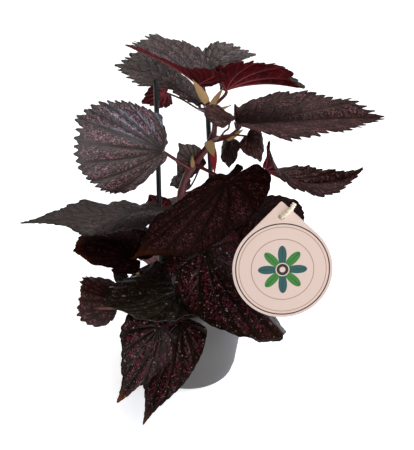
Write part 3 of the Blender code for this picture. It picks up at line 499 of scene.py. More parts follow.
class StemSettings(bpy.types.PropertyGroup):
    cane: colour("Canes", "#60151b", "Dark red of the canes")
    petiole: colour("Petioles", "#a3203c", "Brighter red of the young stalks")
    stipule: colour("Stipules", "#a5855a", "Dry tan of the stipules")
    stipule_edge: colour("Stipule edges", "#6a3f2a", "Brown of the stipules' edges")
    bract: colour("Bract", "#8f1626", "Red of the hanging bract")
    cork: colour("Corky patches", "#4a2a18", "Brown of the corky patches on the canes")
    pores: colour("Pores", "#c98f80", "Pale pink of the canes' pores")
    stake: colour("Stakes", "#04080a", "Blue-black of the stakes")
    node_swelling: length("Node swelling", 0.55 * MM, "How far the canes swell at a node")


class PotSettings(bpy.types.PropertyGroup):
    plastic: colour("Plastic", "#5a5753", "Grey of the pot")
    plastic_dark: colour("Plastic flecks", "#524f4c", "Darker flecks in the pot's plastic")
    soil: colour("Soil", "#20150e", "Dark brown of the potting soil")
    soil_light: colour("Fibres", "#4a3422", "Lighter brown of bark and fibres in the soil")
    # Painted shade: the near black of the soil's hollows.
    soil_hollow_shade: colour("Wet soil", "#0c0805", "Near-black of the soil's hollows")
    crumbs: bpy.props.IntProperty(name="Crumbs", description="Number of loose crumbs on the soil",
                                  default=420, min=0, max=1000)


class TagSettings(bpy.types.PropertyGroup):
    card: colour("Card", "#dcc3b6", "Pinkish beige of the tag's card")
    line: colour("Line", "#3a2f2c", "Dark brown of the printed border")
    band: colour("Band", "#a9826b", "Light brown of the printed inner line")
    petal: colour("Petals", "#3f7d3a", "Green of the printed rosette's petals")
    petal_second: colour("Other petals", "#2f5a57", "Blue-green of every other petal")
    cord: colour("Cord", "#efe3c8", "Cream of the tie")
    cord_radius: length("Cord radius", 1.7 * MM, "Radius of the tie")


class StageSettings(bpy.types.PropertyGroup):
    floor: colour("Floor", "#f6f6f6", "Pale floor")
    surround: bpy.props.FloatProperty(name="Surround", description="Strength of the white surround",
                                      default=0.6, min=0)
    skylight: bpy.props.FloatProperty(name="Skylight", description="Strength of the soft light above",
                                      default=2.0, min=0)
    window: bpy.props.FloatProperty(name="Window", description="Power of the cool light at the back",
                                    unit="POWER", default=8, min=0)
    fill: bpy.props.FloatProperty(name="Fill", description="Power of the soft light in front",
                                  unit="POWER", default=13, min=0)


SETTINGS = {
    "begonia_leaves": LeafSettings,
    "begonia_stems": StemSettings,
    "begonia_pot": PotSettings,
    "begonia_tag": TagSettings,
    "begonia_stage": StageSettings,
}


def add(tree, kind, *values, inputs=None, **settings):
    """Add a shader node. settings are its properties, values fill its inputs in order and inputs
    by name, each with a number, a colour, a socket or a node, whose first output is used."""
    made = tree.nodes.new("ShaderNode" + kind)
    for name, value in settings.items():
        setattr(made, name, value)
    sockets = [socket for socket in made.inputs if socket.enabled]
    pairs = list(zip(sockets, values))
    pairs += [(made.inputs[name], value) for name, value in (inputs or {}).items()]
    for socket, value in pairs:
        if isinstance(value, bpy.types.Node):
            value = next(output for output in value.outputs if output.enabled)
        if isinstance(value, bpy.types.NodeSocket):
            tree.links.new(value, socket)
        elif value is not None:
            socket.default_value = value
    return made


def scaled(tone, factor):
    """A colour made lighter or darker."""
    return [min(1, channel * factor) for channel in tone[:3]] + [1]


def new_material(name, roughness, specular=0.5, coat=0.0, coat_roughness=0.1):
    """A material with its Principled shader, ready for a colour and a bump."""
    material = bpy.data.materials.new(name)
    material.use_nodes = True
    tree = material.node_tree
    tree.nodes.clear()
    shader = add(tree, "BsdfPrincipled", inputs={
        "Roughness": roughness, "Specular IOR Level": specular, "Metallic": 0.0,
        "Coat Weight": coat, "Coat Roughness": coat_roughness})
    add(tree, "OutputMaterial", shader)
    return material, tree, shader


def surface(tree, shader, tone, height=None, strength=0.0, depth=0.0):
    """Lead a blended colour, and the bump that a height gives, into a material's shader."""
    tree.links.new(tone.outputs[2], shader.inputs["Base Color"])
    if height is not None:
        bump = add(tree, "Bump", inputs={"Strength": strength, "Distance": depth, "Height": height})
        tree.links.new(bump.outputs[0], shader.inputs["Normal"])


def leaf_pattern(tree):
    """Values that both sides of a leaf share: the flat leaf's map, the distance to the nearest
    main vein and to the nearest side vein, in metres, the share of the way out to the edge, and
    how far between two main veins a place lies, from 0 to a half."""
    veins = add(tree, "SeparateXYZ", add(tree, "UVMap", uv_map="Veins"))
    flat = add(tree, "UVMap", uv_map="Flat")
    spread = add(tree, "Attribute", attribute_name="spread").outputs["Fac"]
    between = add(tree, "Math", veins.outputs[0], 0.5, operation="PINGPONG")
    main = add(tree, "Math", between, spread, **TIMES)
    out = add(tree, "VectorMath", flat, operation="LENGTH").outputs["Value"]
    slanted = add(tree, "Math", main, SIDE_VEIN_SLANT, **TIMES)
    steps = add(tree, "Math", out, slanted, operation="SUBTRACT")
    steps = add(tree, "Math", steps, 1 / SIDE_VEIN_PITCH, **TIMES)
    steps = add(tree, "Math", steps, 0.5, operation="PINGPONG")
    side = add(tree, "Math", steps, SIDE_VEIN_PITCH * 0.7, **TIMES)
    return flat, main, side, veins.outputs[1], between


# Living leaf, puckered into cells of about 2 mm with a pale spot on most of them: satin, with painted
# shade in the grooves between the cells and along the sunken veins, so the spots lie in bands between
# the veins. Real cells are a little finer, and these are as coarse as they need to show.
def leaf_top(name, look, settings):
    base = getattr(settings, look["tone"])[:]
    pale, dark = scaled(base, look["lift"]), scaled(base, 0.4)
    material, tree, shader = new_material(name, look["gloss"], look["specular"], look["coat"], 0.16)
    flat, main, side, share, between = leaf_pattern(tree)

    # Cells with wavering, lumpy outlines.
    wander = add(tree, "TexNoise", flat, inputs={"Scale": 500.0, "Detail": 1.0})
    wavering = add(tree, "VectorMath", wander.outputs["Color"], [CELL_WANDER] * 3, flat,
                   operation="MULTIPLY_ADD")
    cells = add(tree, "TexVoronoi", inputs={"Vector": wavering, "Scale": 1 / settings.spot_size,
                                            "Randomness": 0.8})
    lumps = add(tree, "TexNoise", flat, inputs={"Scale": 300.0, "Detail": 2.0})
    lumps = add(tree, "MapRange", lumps, 0.3, 0.7, 0.16, -0.2)
    distance = add(tree, "Math", cells.outputs["Distance"], lumps, operation="ADD")
    luck = add(tree, "SeparateColor", cells.outputs["Color"])
    clouds = add(tree, "TexNoise", flat, inputs={"Scale": 90.0, "Detail": 3.0})
    fine = add(tree, "TexNoise", flat, inputs={"Scale": 1100.0, "Detail": 2.0})

    # Spots, by luck and away from veins and edge.
    clear_main = add(tree, "MapRange", main, *CLEAR_OF_MAIN, **SMOOTH)
    spots = add(tree, "MapRange", distance, 0.52, 0.22, **SMOOTH)
    for factor in (
            add(tree, "MapRange", luck.outputs[1], 0.0, 1.0, 0.3, 1.0),
            add(tree, "MapRange", luck.outputs[0], look["spots"] + 0.1, look["spots"] - 0.1, **SMOOTH),
            add(tree, "MapRange", clouds, 0.32, 0.55, 0.4, 1.0, **SMOOTH),
            clear_main,
            add(tree, "MapRange", side, *CLEAR_OF_SIDE, 0.4, 1.0, **SMOOTH),
            add(tree, "MapRange", share, *CLEAR_OF_EDGE, **SMOOTH),
            add(tree, "MapRange", between, 0.06, 0.28, 0.15, 1.0, **SMOOTH),
            look["strength"]):
        spots = add(tree, "Math", spots, factor, **TIMES)
    # Painted glints: a silver-white highlight painted on the tops of a few cells.
    painted_glint = add(tree, "Math", add(tree, "MapRange", luck.outputs[2], 0.7, 0.85, **SMOOTH),
                 add(tree, "MapRange", distance, 0.42, 0.2, **SMOOTH), **TIMES)
    painted_glint = add(tree, "Math", painted_glint, look["painted_glint"], **TIMES)

    # The tissue, with each of these laid over the one before: how much of it, and its colour.
    # Painted shade in the grooves between the cells, and below it along the main veins.
    furrow_shade = add(tree, "MapRange", distance, 0.38, 0.62, 0.0, 0.75, **SMOOTH)
    tone = add(tree, "Mix", add(tree, "MapRange", clouds, 0.3, 0.7, **SMOOTH), base, pale, **BLEND)
    for amount, above in (
            (add(tree, "MapRange", fine, 0.4, 0.65, 0.0, 0.5, **SMOOTH), dark),
            (add(tree, "Math", furrow_shade, clear_main, **TIMES), dark),
            (add(tree, "MapRange", main, *MAIN_VEIN_SHADE, 0.0, 0.9, **SMOOTH), dark),
            (spots, getattr(settings, look["spot"])[:]),
            (painted_glint, settings.painted_glint[:]),
            # Painted shade: the tissue darkened round the stem's end.
            (add(tree, "MapRange", share, 0.75, 0.15, 0.0, look["stem_shade"], **SMOOTH), dark),
            (add(tree, "Attribute", attribute_name="tint").outputs["Fac"], settings.tips[:]),
            (add(tree, "MapRange", share, *DARK_RIM, 0.0, 0.7, **SMOOTH), dark)):
        tone = add(tree, "Mix", amount, tone, above, **BLEND)

    height = add(tree, "Math", add(tree, "MapRange", distance, 0.6, 0.1, **SMOOTH), clear_main, **TIMES)
    for part in (add(tree, "MapRange", side, 0.0, SIDE_FURROW, **SMOOTH),
                 add(tree, "Math", fine, 0.6, **TIMES)):
        height = add(tree, "Math", height, part, operation="ADD")
    surface(tree, shader, tone, height, 0.9, CELL_HEIGHT)
    return material


# The underside: smooth deep red tissue with raised pink veins, duller than the top.
def leaf_underside(settings):
    material, tree, shader = new_material("begonia_leaf_underside", 0.55, 0.2)
    flat, main, side, share = leaf_pattern(tree)[:4]
    clouds = add(tree, "TexNoise", flat, inputs={"Scale": 60.0, "Detail": 3.0})
    blade = add(tree, "Mix", add(tree, "MapRange", clouds, 0.3, 0.72, **SMOOTH),
                scaled(settings.underside, 0.45), settings.underside[:], **BLEND)
    main_vein = add(tree, "MapRange", main, *MAIN_LINE, **SMOOTH)
    fading = add(tree, "MapRange", share, 1.0, 0.2, 0.15, 0.8, **SMOOTH)
    side_vein = add(tree, "MapRange", side, *SIDE_LINE, 0.0, 0.25, **SMOOTH)
    lines = add(tree, "Math", add(tree, "Math", main_vein, fading, **TIMES), side_vein,
                operation="MAXIMUM")
    veined = add(tree, "Mix", lines, blade, settings.veins[:], **BLEND)
    height = add(tree, "Math", add(tree, "MapRange", main, MAIN_RIB, 0.0, **SMOOTH),
                 add(tree, "MapRange", side, SIDE_RIB, 0.0, 0.0, 0.4, **SMOOTH), operation="ADD")
    surface(tree, shader, veined, height, 0.8, RIB_HEIGHT)
    return material


# A fleshy living stem: smooth waxy skin with lengthwise streaks about 1 mm wide and pale pores
# about 2 mm apart, both drawn coarser than the real ones so that they show.
def stem_skin(settings):
    material, tree, shader = new_material("fleshy_stem", 0.35, 0.5)
    place = add(tree, "TexCoord").outputs["Object"]
    stretched = add(tree, "Mapping", place, inputs={"Scale": (900.0, 900.0, 60.0)})
    streaks = add(tree, "TexNoise", stretched, inputs={"Scale": 1.0, "Detail": 2.0})
    clouds = add(tree, "TexNoise", place, inputs={"Scale": 45.0, "Detail": 2.0})
    pores = add(tree, "TexVoronoi", place, inputs={"Scale": 420.0}).outputs["Distance"]
    young = add(tree, "Attribute", attribute_name="young").outputs["Fac"]
    dark = scaled(settings.cane, 0.35)
    tone = add(tree, "Mix", young, settings.cane[:], settings.petiole[:], **BLEND)
    for amount, above in (
            (add(tree, "MapRange", streaks, 0.35, 0.7, 0.0, 0.45, **SMOOTH), dark),
            (add(tree, "MapRange", clouds, 0.55, 0.75, 0.0, 0.5, **SMOOTH), settings.cork[:]),
            (add(tree, "MapRange", pores, 0.16, 0.08, 0.0, 0.5, **SMOOTH), settings.pores[:])):
        tone = add(tree, "Mix", amount, tone, above, **BLEND)
    surface(tree, shader, tone, streaks, 0.5, 0.15 * MM)
    return material


# Dry papery scale leaf: matt, with lengthwise fibres about 0.2 mm apart and a browned edge.
def papery_scale(name, base, edge):
    material, tree, shader = new_material(name, 0.7, 0.3)
    across = add(tree, "SeparateXYZ", add(tree, "UVMap", uv_map="Flat"))
    narrow = add(tree, "Math", across.outputs[1], 14.0, **TIMES)
    fibres = add(tree, "TexNoise", add(tree, "CombineXYZ", across.outputs[0], narrow),
                 inputs={"Scale": 2.2, "Detail": 3.0})
    rim = add(tree, "Math", across.outputs[1], 0.5, operation="SUBTRACT")
    rim = add(tree, "Math", rim, operation="ABSOLUTE")
    streaked = add(tree, "Mix", add(tree, "MapRange", fibres, 0.3, 0.7, **SMOOTH), base[:],
                   scaled(base, 1.25), **BLEND)
    edged = add(tree, "Mix", add(tree, "MapRange", rim, 0.38, 0.5, 0.0, 0.8, **SMOOTH), streaked,
                edge[:], **BLEND)
    surface(tree, shader, edged, fibres, 0.7, 0.2 * MM)
    return material


# Injection-moulded recycled polypropylene: matt and faintly mottled, with a grain of about 1 mm
# that is coarser than the real one so that it shows.
def pot_plastic(settings):
    material, tree, shader = new_material("moulded_polypropylene", 0.55, 0.4)
    place = add(tree, "TexCoord").outputs["Object"]
    flecks = add(tree, "TexNoise", place, inputs={"Scale": 900.0, "Detail": 2.0})
    clouds = add(tree, "TexNoise", place, inputs={"Scale": 25.0, "Detail": 3.0})
    mottled = add(tree, "Mix", add(tree, "MapRange", flecks, 0.45, 0.7, 0.0, 0.6, **SMOOTH),
                  settings.plastic[:], settings.plastic_dark[:], **BLEND)
    aged = add(tree, "Mix", add(tree, "MapRange", clouds, 0.4, 0.7, 0.0, 0.5, **SMOOTH), mottled,
               scaled(settings.plastic, 1.12), **BLEND)
    surface(tree, shader, aged, flecks, 0.4, 0.05 * MM)
    return material


# Peat with bark fibres: no gloss, crumbly at about 2.5 mm, with painted shade in its hollows.
def potting_peat(settings):
    material, tree, shader = new_material("potting_peat", 0.95, 0.2)
    place = add(tree, "TexCoord").outputs["Object"]
    crumbs = add(tree, "TexVoronoi", place, inputs={"Scale": 380.0})
    grain = add(tree, "TexNoise", place, inputs={"Scale": 600.0, "Detail": 4.0})
    luck = add(tree, "SeparateColor", crumbs.outputs["Color"])
    mixed = add(tree, "Mix", add(tree, "MapRange", luck.outputs[0], 0.7, 0.9, **SMOOTH),
                settings.soil[:], settings.soil_light[:], **BLEND)
    shaded = add(tree, "Mix", add(tree, "MapRange", grain, 0.35, 0.7, 0.0, 0.7, **SMOOTH), mixed,
                 settings.soil_hollow_shade[:], **BLEND)
    height = add(tree, "Math", crumbs.outputs["Distance"], grain, operation="SUBTRACT")
    surface(tree, shader, shaded, height, 1.0, 1.0 * MM)
    return material


# Extruded stiff polyethylene: near-black, half gloss, with draw lines along it that are 0.7 mm
# apart, coarser than the real ones, so that they show.
def stake_plastic(settings):
    material, tree, shader = new_material("extruded_polyethylene", 0.4, 0.3)
    place = add(tree, "TexCoord").outputs["Object"]
    stretched = add(tree, "Mapping", place, inputs={"Scale": (1500.0, 1500.0, 20.0)})
    lines = add(tree, "TexNoise", stretched, inputs={"Scale": 1.0, "Detail": 1.0})
    tone = add(tree, "Mix", add(tree, "MapRange", lines, 0.35, 0.7, **SMOOTH), settings.stake[:],
               scaled(settings.stake, 1.8), **BLEND)
    surface(tree, shader, tone, lines, 0.4, 0.08 * MM)
    return material


# Uncoated card with printed rings and a rosette of eight petals. The card's fibres are drawn at
# 0.6 mm, coarser than the real ones, so that they show.
def printed_card(settings):
    material, tree, shader = new_material("uncoated_card", 0.8, 0.25)
    flat = add(tree, "UVMap", uv_map="Flat")
    parts = add(tree, "SeparateXYZ", flat)
    out = add(tree, "VectorMath", flat, operation="LENGTH").outputs["Value"]
    turn = add(tree, "Math", parts.outputs[1], parts.outputs[0], operation="ARCTAN2")
    grain = add(tree, "TexNoise", flat, inputs={"Scale": 1600.0, "Detail": 3.0})
    printed = add(tree, "Mix", add(tree, "MapRange", grain, 0.35, 0.65, 0.0, 0.5, **SMOOTH),
                  settings.card[:], scaled(settings.card, 0.86), **BLEND)
    turns = add(tree, "Math", turn, PETAL_PAIRS, **TIMES)
    petal = add(tree, "Math", turns, operation="COSINE")
    middle = add(tree, "Math", add(tree, "Math", turns, operation="SINE"), operation="ABSOLUTE")
    reach = add(tree, "MapRange", add(tree, "Math", petal, operation="ABSOLUTE"), 0.0, 1.0,
                PETAL_FOOT, PETAL_TIP)
    within = add(tree, "Math", reach, out, operation="SUBTRACT")
    filled = add(tree, "Math", add(tree, "MapRange", within, 0.0, INK_EDGE, **SMOOTH),
                 add(tree, "MapRange", out, ROSETTE_EYE, ROSETTE_EYE + INK_EDGE, **SMOOTH), **TIMES)
    tones = add(tree, "Mix", add(tree, "MapRange", petal, -PETAL_SEAM, PETAL_SEAM, **SMOOTH),
                settings.petal[:], settings.petal_second[:], **BLEND)
    ribs = add(tree, "Math", add(tree, "MapRange", middle, *PETAL_LINE, 0.0, 0.8, **SMOOTH), filled,
               **TIMES)
    layers = [(filled, tones), (ribs, settings.line[:])]
    for radius, half, ink in RINGS:
        away = add(tree, "Math", out, radius * MM, operation="SUBTRACT")
        away = add(tree, "Math", away, operation="ABSOLUTE")
        ring = add(tree, "MapRange", away, half * MM + RING_EDGE, half * MM, **SMOOTH)
        layers.append((ring, getattr(settings, ink)[:]))
    for amount, ink in layers:
        printed = add(tree, "Mix", amount, printed, ink, **BLEND)
    surface(tree, shader, printed, grain, 0.3, 0.05 * MM)
    return material


# Plain card: the tag's back and cut edge.
def plain_card(settings):
    material, tree, shader = new_material("card_back", 0.85, 0.25)
    place = add(tree, "TexCoord").outputs["Object"]
    grain = add(tree, "TexNoise", place, inputs={"Scale": 1600.0, "Detail": 3.0})
    tone = add(tree, "Mix", add(tree, "MapRange", grain, 0.35, 0.65, **SMOOTH),
               scaled(settings.card, 0.95), scaled(settings.card, 1.06), **BLEND)
    surface(tree, shader, tone)
    return material


# Loosely spun cotton cord: matt, with fibres drawn at 0.6 mm, coarser than the real ones, so that
# they show.
def cotton_cord(settings):
    material, tree, shader = new_material("cotton_cord", 0.9, 0.2)
    place = add(tree, "TexCoord").outputs["Object"]
    fibres = add(tree, "TexNoise", place, inputs={"Scale": 1800.0, "Detail": 2.0})
    tone = add(tree, "Mix", add(tree, "MapRange", fibres, 0.3, 0.7, **SMOOTH),
               scaled(settings.cord, 0.8), settings.cord[:], **BLEND)
    surface(tree, shader, tone, fibres, 0.5, 0.15 * MM)
    return material


def smooth_value(x, points):
    """Read a smooth curve through points (x, value) at x, without overshoot."""
    xs = np.array([point[0] for point in points], float)
    ys = np.array([point[1] for point in points], float)
    slopes = np.diff(ys) / np.diff(xs)
    before, after = slopes[:-1], slopes[1:]
    inner = np.where(before * after > 0, 2 * before * after / (before + after + 1e-12), 0)
    tangents = np.concatenate([slopes[:1], inner, slopes[-1:]])
    i = np.clip(np.searchsorted(xs, x) - 1, 0, len(xs) - 2)
    step = xs[i + 1] - xs[i]
    t = (x - xs[i]) / step
    start = ys[i] * (2 * t ** 3 - 3 * t ** 2 + 1) + tangents[i] * step * (t ** 3 - 2 * t ** 2 + t)
    end = ys[i + 1] * (3 * t ** 2 - 2 * t ** 3) + tangents[i + 1] * step * (t ** 3 - t ** 2)
    return start + end


def smooth_route(points, steps):
    """Points of a smooth line through the given ones, with steps between each two."""
    points = [np.array(point, float) for point in points]
    route = []
    for i, (p1, p2) in enumerate(zip(points, points[1:])):
        p0 = points[i - 1] if i > 0 else 2 * p1 - p2
        p3 = points[i + 2] if i + 2 < len(points) else 2 * p2 - p1
        for k in range(steps):
            t = k / steps
            route.append(0.5 * (2 * p1 + (p2 - p0) * t + (2 * p0 - 5 * p1 + 4 * p2 - p3) * t ** 2
                                + (3 * p1 - p0 - 3 * p2 + p3) * t ** 3))
    return [*route, points[-1]]


def flat_outline(blade, angles):
    """The flat leaf's edge in the direction of each angle (degrees, left positive), as shares of
    the midrib's length, with +X to the tip."""
    size = np.abs(angles)
    share = blade["roundness"]
    reach = (1 - share) * smooth_value(size, LONG_OUTLINE) + share * smooth_value(size, ROUND_OUTLINE)
    turn = np.radians(angles)
    left = angles > 0
    width = np.where(left, blade["width"][0], blade["width"][1])
    lobe = np.where(left, blade["lobes"][0], blade["lobes"][1])
    forward = np.clip((np.cos(turn) + 0.05) / 0.5, 0, 1)
    forward = forward ** 2 * (3 - 2 * forward)
    width = width * (1 - forward * np.where(left, blade["taper"][0], blade["taper"][1]))
    x = reach * np.cos(turn) * np.where(np.cos(turn) < 0, lobe, 1)
    return x, reach * np.sin(turn) * width


def edge_angles(blade, count):
    """Directions at even steps along the edge, from the notch round the tip to the notch."""
    halves = []
    for low, high in ((NOTCH - 180, 0), (0, 180 - NOTCH)):
        fine = np.linspace(low, high, 400)
        x, y = flat_outline(blade, fine)
        walked = np.concatenate([[0], np.cumsum(np.hypot(np.diff(x), np.diff(y)))])
        halves.append(np.interp(np.linspace(0, walked[-1], count // 2 + 1), walked, fine))
    return np.concatenate([halves[0], halves[1][1:]])


def midrib(blade):
    """Length along the midrib, its x and z and its slope, for a midrib of length 1."""
    along = np.linspace(-0.8, 1.05, 400)
    slope = blade["arch"] * along
    step = along[1] - along[0]

    def total(values):
        walked = np.concatenate([[0], np.cumsum((values[1:] + values[:-1]) / 2 * step)])
        return walked - np.interp(0, along, walked)

    return along, total(np.cos(slope)), total(np.sin(slope)), slope


def chord(blade):
    """Length and slope of the straight line between the ends of a midrib of length 1."""
    along, x, z, _ = midrib(blade)
    end_x, end_z = np.interp(1, along, x), np.interp(1, along, z)
    return math.hypot(end_x, end_z), math.atan2(end_z, end_x)


def blade_shape(blade, x, y, share, angles, lift):
    """Bend points of the flat leaf to the real one, for a midrib of length 1. share is how far
    out a point lies, from 0 at the stem's end to 1 at the edge, and lift how far it is raised."""
    along, rib_x, rib_z, slope = midrib(blade)
    slope = np.interp(x, along, slope)
    left = y > 0
    fold = np.where(left, blade["fold"][0], blade["fold"][1])
    rise = np.radians(fold + blade["curl"] * np.abs(y))
    out = np.abs(y) * np.cos(rise) * np.where(left, 1, -1)
    up = np.abs(y) * np.sin(rise)
    up += lift + BLADE_WAVE * share ** 2 * np.sin(np.radians(BLADE_WAVES * angles))
    turn = blade["twist"] * np.clip(x, -0.5, 1)
    side = out * np.cos(turn) - up * np.sin(turn)
    up = out * np.sin(turn) + up * np.cos(turn)
    px = np.interp(x, along, rib_x) - up * np.sin(slope)
    pz = np.interp(x, along, rib_z) + up * np.cos(slope)
    return np.stack([px, side, pz], axis=-1)


def blade_axes(blade):
    """Length of the midrib and the unit axes of the blade at its base: along, left and up."""
    reach, incline = chord(blade)
    straight = blade["tip"] - blade["base"]
    distance = np.linalg.norm(straight)
    ahead = straight / distance
    heading = math.atan2(ahead[1], ahead[0])
    level = np.array([-math.sin(heading), math.cos(heading), 0])
    left = level * math.cos(blade["roll"]) + np.cross(ahead, level) * math.sin(blade["roll"])
    up = np.cross(ahead, left)
    along = ahead * math.cos(incline) - up * math.sin(incline)
    up = ahead * math.sin(incline) + up * math.cos(incline)
    return distance / reach, along, left, up


def link(obj):
    """Put an object into the scene."""
    bpy.context.scene.collection.objects.link(obj)
    return obj


def evaluated_mesh(obj):
    """A new mesh of an object as its curve or modifiers make it."""
    return bpy.data.meshes.new_from_object(obj.evaluated_get(bpy.context.evaluated_depsgraph_get()))


def merge(work):
    """Join a bmesh's doubled vertices and turn its faces outwards."""
    bmesh.ops.remove_doubles(work, verts=work.verts, dist=MERGE)
    bmesh.ops.recalc_face_normals(work, faces=work.faces)


def thicken(obj, thickness, other_side=0):
    """Give a thin sheet its thickness, half to each side. other_side is how many slots further on
    the material of its other side is."""
    solid = obj.modifiers.new("Thickness", "SOLIDIFY")
    solid.thickness = thickness
    solid.offset = 0
    solid.material_offset = other_side


def finish_piece(obj, materials, replaced=()):
    """Give a piece its materials, hang it on the body it rides on and hide the parts it stands for."""
    for material in materials:
        obj.data.materials.append(material)
    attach(obj, BODY)
    if replaced:
        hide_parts(*replaced)
    return obj


def mesh_piece(name, work, smooth=True):
    """An object at the origin from a finished bmesh."""
    mesh = bpy.data.meshes.new(name)
    work.to_mesh(mesh)
    work.free()
    if smooth:
        mesh.shade_smooth()
    return link(bpy.data.objects.new(name, mesh))


def axes_of(along, left, up, place):
    """A matrix with the given axes as its columns and the given place."""
    matrix = Matrix.Identity(4)
    for column, axis in enumerate((along, left, up, place)):
        for row in range(3):
            matrix[row][column] = axis[row]
    return matrix


def vein_number(angles, share):
    """Which main vein a direction lies on, as a number that is whole on a vein, negative on the
    right."""
    bent = np.abs(angles) / (1 - VEIN_BEND * share)
    return np.sign(angles) * np.interp(bent, VEIN_ANGLES, np.arange(len(VEIN_ANGLES)))


def tooth_cuts(blade, x, y, draw):
    """How far the edge is cut back at each of its points, as a share of the leaf: large teeth
    that lean to the tip, each with smaller ones on its back."""
    cuts = np.zeros(len(x))
    tip = len(x) // 2
    for half in (np.arange(tip, len(x)), np.arange(tip, -1, -1)):
        walked = np.concatenate([[0], np.cumsum(np.hypot(np.diff(x[half]), np.diff(y[half])))])
        teeth = max(FEWEST_TEETH, round(walked[-1] / TOOTH_SPACING))
        phase = (1 - walked / walked[-1]) * teeth
        depths = draw.uniform(*TOOTH_DEPTHS, teeth + 1)[np.floor(phase).astype(int)]
        large = np.interp(phase % 1, (0, TOOTH_PEAK, 1), (0, 1, 0))
        small = np.interp(SMALL_TEETH * phase % 1, (0, TOOTH_PEAK, 1), (0, 1, 0))
        cuts[half] = blade["teeth"] * depths * (1 - (1 - SMALL_TOOTH_SHARE) * large
                                                - SMALL_TOOTH_SHARE * small)
    return cuts


def smooth_step(low, high, value):
    """0 below low, 1 above high and a smooth step between."""
    t = np.clip((value - low) / (high - low), 0, 1)
    return t * t * (3 - 2 * t)


def dress_leaf(blade, settings, materials):
    """One blade: a grid of rings round the stem's end, bent to the solid's form, with toothed
    edge, sunken veins and a ruffled margin."""
    draw = np.random.default_rng(sum(map(ord, blade["name"])))
    span, along, left, up = blade_axes(blade)
    count, rings = LARGE_GRID if span > LARGE_LEAF else SMALL_GRID
    angles = edge_angles(blade, count)
    edge_x, edge_y = flat_outline(blade, angles)
    cuts = tooth_cuts(blade, edge_x * span, edge_y * span, draw)
    numbers = vein_number(angles, 1.0)
    stretch = np.hypot(np.gradient(edge_x), np.gradient(edge_y)) / (np.abs(np.gradient(numbers)) + 1e-6)
    slow, fast = (np.radians(angles) * waves for waves in RUFFLE_WAVES)
    ruffles = np.sin(slow + draw.uniform(0, 2 * math.pi)) + SECOND_RUFFLE * np.sin(fast)

    # Each vertex: its column round the edge and its share of the way out, then where it lies on
    # the flat leaf, and how far it is from the nearest main vein.
    work = bmesh.new()
    bmesh.ops.create_grid(work, x_segments=count, y_segments=rings, size=0.5)
    columns = np.array([round((vert.co.x + 0.5) * count) for vert in work.verts])
    shares = np.array([vert.co.y + 0.5 for vert in work.verts])
    outer = smooth_step(*MARGIN, shares)
    cut = 1 - cuts[columns] * outer
    flat_x, flat_y = edge_x[columns] * shares * cut, edge_y[columns] * shares * cut
    number = vein_number(angles[columns], shares)
    off_vein = np.abs(number - np.round(number))
    off_metres = off_vein * stretch[columns] * span * shares

    # The relief: it bulges between main veins and, less, between side veins, and waves at the edge.
    bulge = np.sin(math.pi * np.clip(off_vein, 0, 0.5)) ** BULGE_ROUNDING - 0.5
    bulge *= smooth_step(*BULGING, shares) * (1 - 0.5 * outer)
    side = (np.hypot(flat_x, flat_y) * span - SIDE_VEIN_SLANT * off_metres) / SIDE_VEIN_PITCH
    quilt = np.abs(np.sin(math.pi * side)) ** QUILT_ROUNDING - 0.5
    quilt *= smooth_step(*QUILTED, shares) * smooth_step(0, QUILT_CLEARANCE, off_metres)
    lift = settings.relief * (bulge + QUILT_SHARE * quilt)
    lift += settings.ruffle * ruffles[columns] * smooth_step(*RUFFLED, shares)
    lift *= min(1, span / FULL_RELIEF_LEAF)
    points = blade_shape(blade, flat_x, flat_y, shares, angles[columns], lift / span) * span

    # What the materials read.
    old = smooth_step(*TINTED, flat_x + TINT_STEP * np.abs(number) * shares)
    fields = {"spread": stretch[columns] * shares * span, "tint": blade["tint"] * old}
    for name, values in fields.items():
        layer = work.verts.layers.float.new(name)
        for vert, value in zip(work.verts, values):
            vert[layer] = value
    maps = {"Veins": np.stack([number, shares], axis=1),
            "Flat": np.stack([flat_x, flat_y], axis=1) * span}
    for name, values in maps.items():
        layer = work.loops.layers.uv.new(name)
        for face in work.faces:
            for loop in face.loops:
                loop[layer].uv = values[loop.vert.index]

    place = axes_of(along, left, up, blade["base"])
    for vert, point in zip(work.verts, points):
        vert.co = place @ Vector(point)
    merge(work)
    if sum(face.normal.dot(Vector(up)) for face in work.faces) < 0:
        bmesh.ops.reverse_faces(work, faces=work.faces)
    obj = mesh_piece(blade["name"] + "_blade", work)
    thicken(obj, settings.thickness, other_side=1)
    return finish_piece(obj, materials, (blade["name"],))


def swept(lines, closed, radii=(), **settings):
    """A bmesh of a curve that joins the points of each line by straight steps. radii are those of
    its bevel at the points, and settings are the curve's own."""
    curve = bpy.data.curves.new("line", "CURVE")
    for name, value in settings.items():
        setattr(curve, name, value)
    for line in lines:
        spline = curve.splines.new("POLY")
        spline.points.add(len(line) - 1)
        spline.use_cyclic_u = closed
        for point, spot in zip(spline.points, line):
            point.co = (*spot, 1)
        for point, radius in zip(spline.points, radii):
            point.radius = radius / MM
    shape = link(bpy.data.objects.new("line", curve))
    work = bmesh.new()
    work.from_mesh(evaluated_mesh(shape))
    bpy.data.objects.remove(shape)
    merge(work)
    return work


def tube(route, radii, resolution):
    """A bmesh of a tube along a route, with capped ends."""
    return swept([route], False, radii, dimensions="3D", bevel_depth=MM, bevel_resolution=resolution,
                 use_fill_caps=True)


def paint(work, name, value):
    """Give every vertex of a bmesh the same value of an attribute."""
    layer = work.verts.layers.float.new(name)
    for vert in work.verts:
        vert[layer] = value


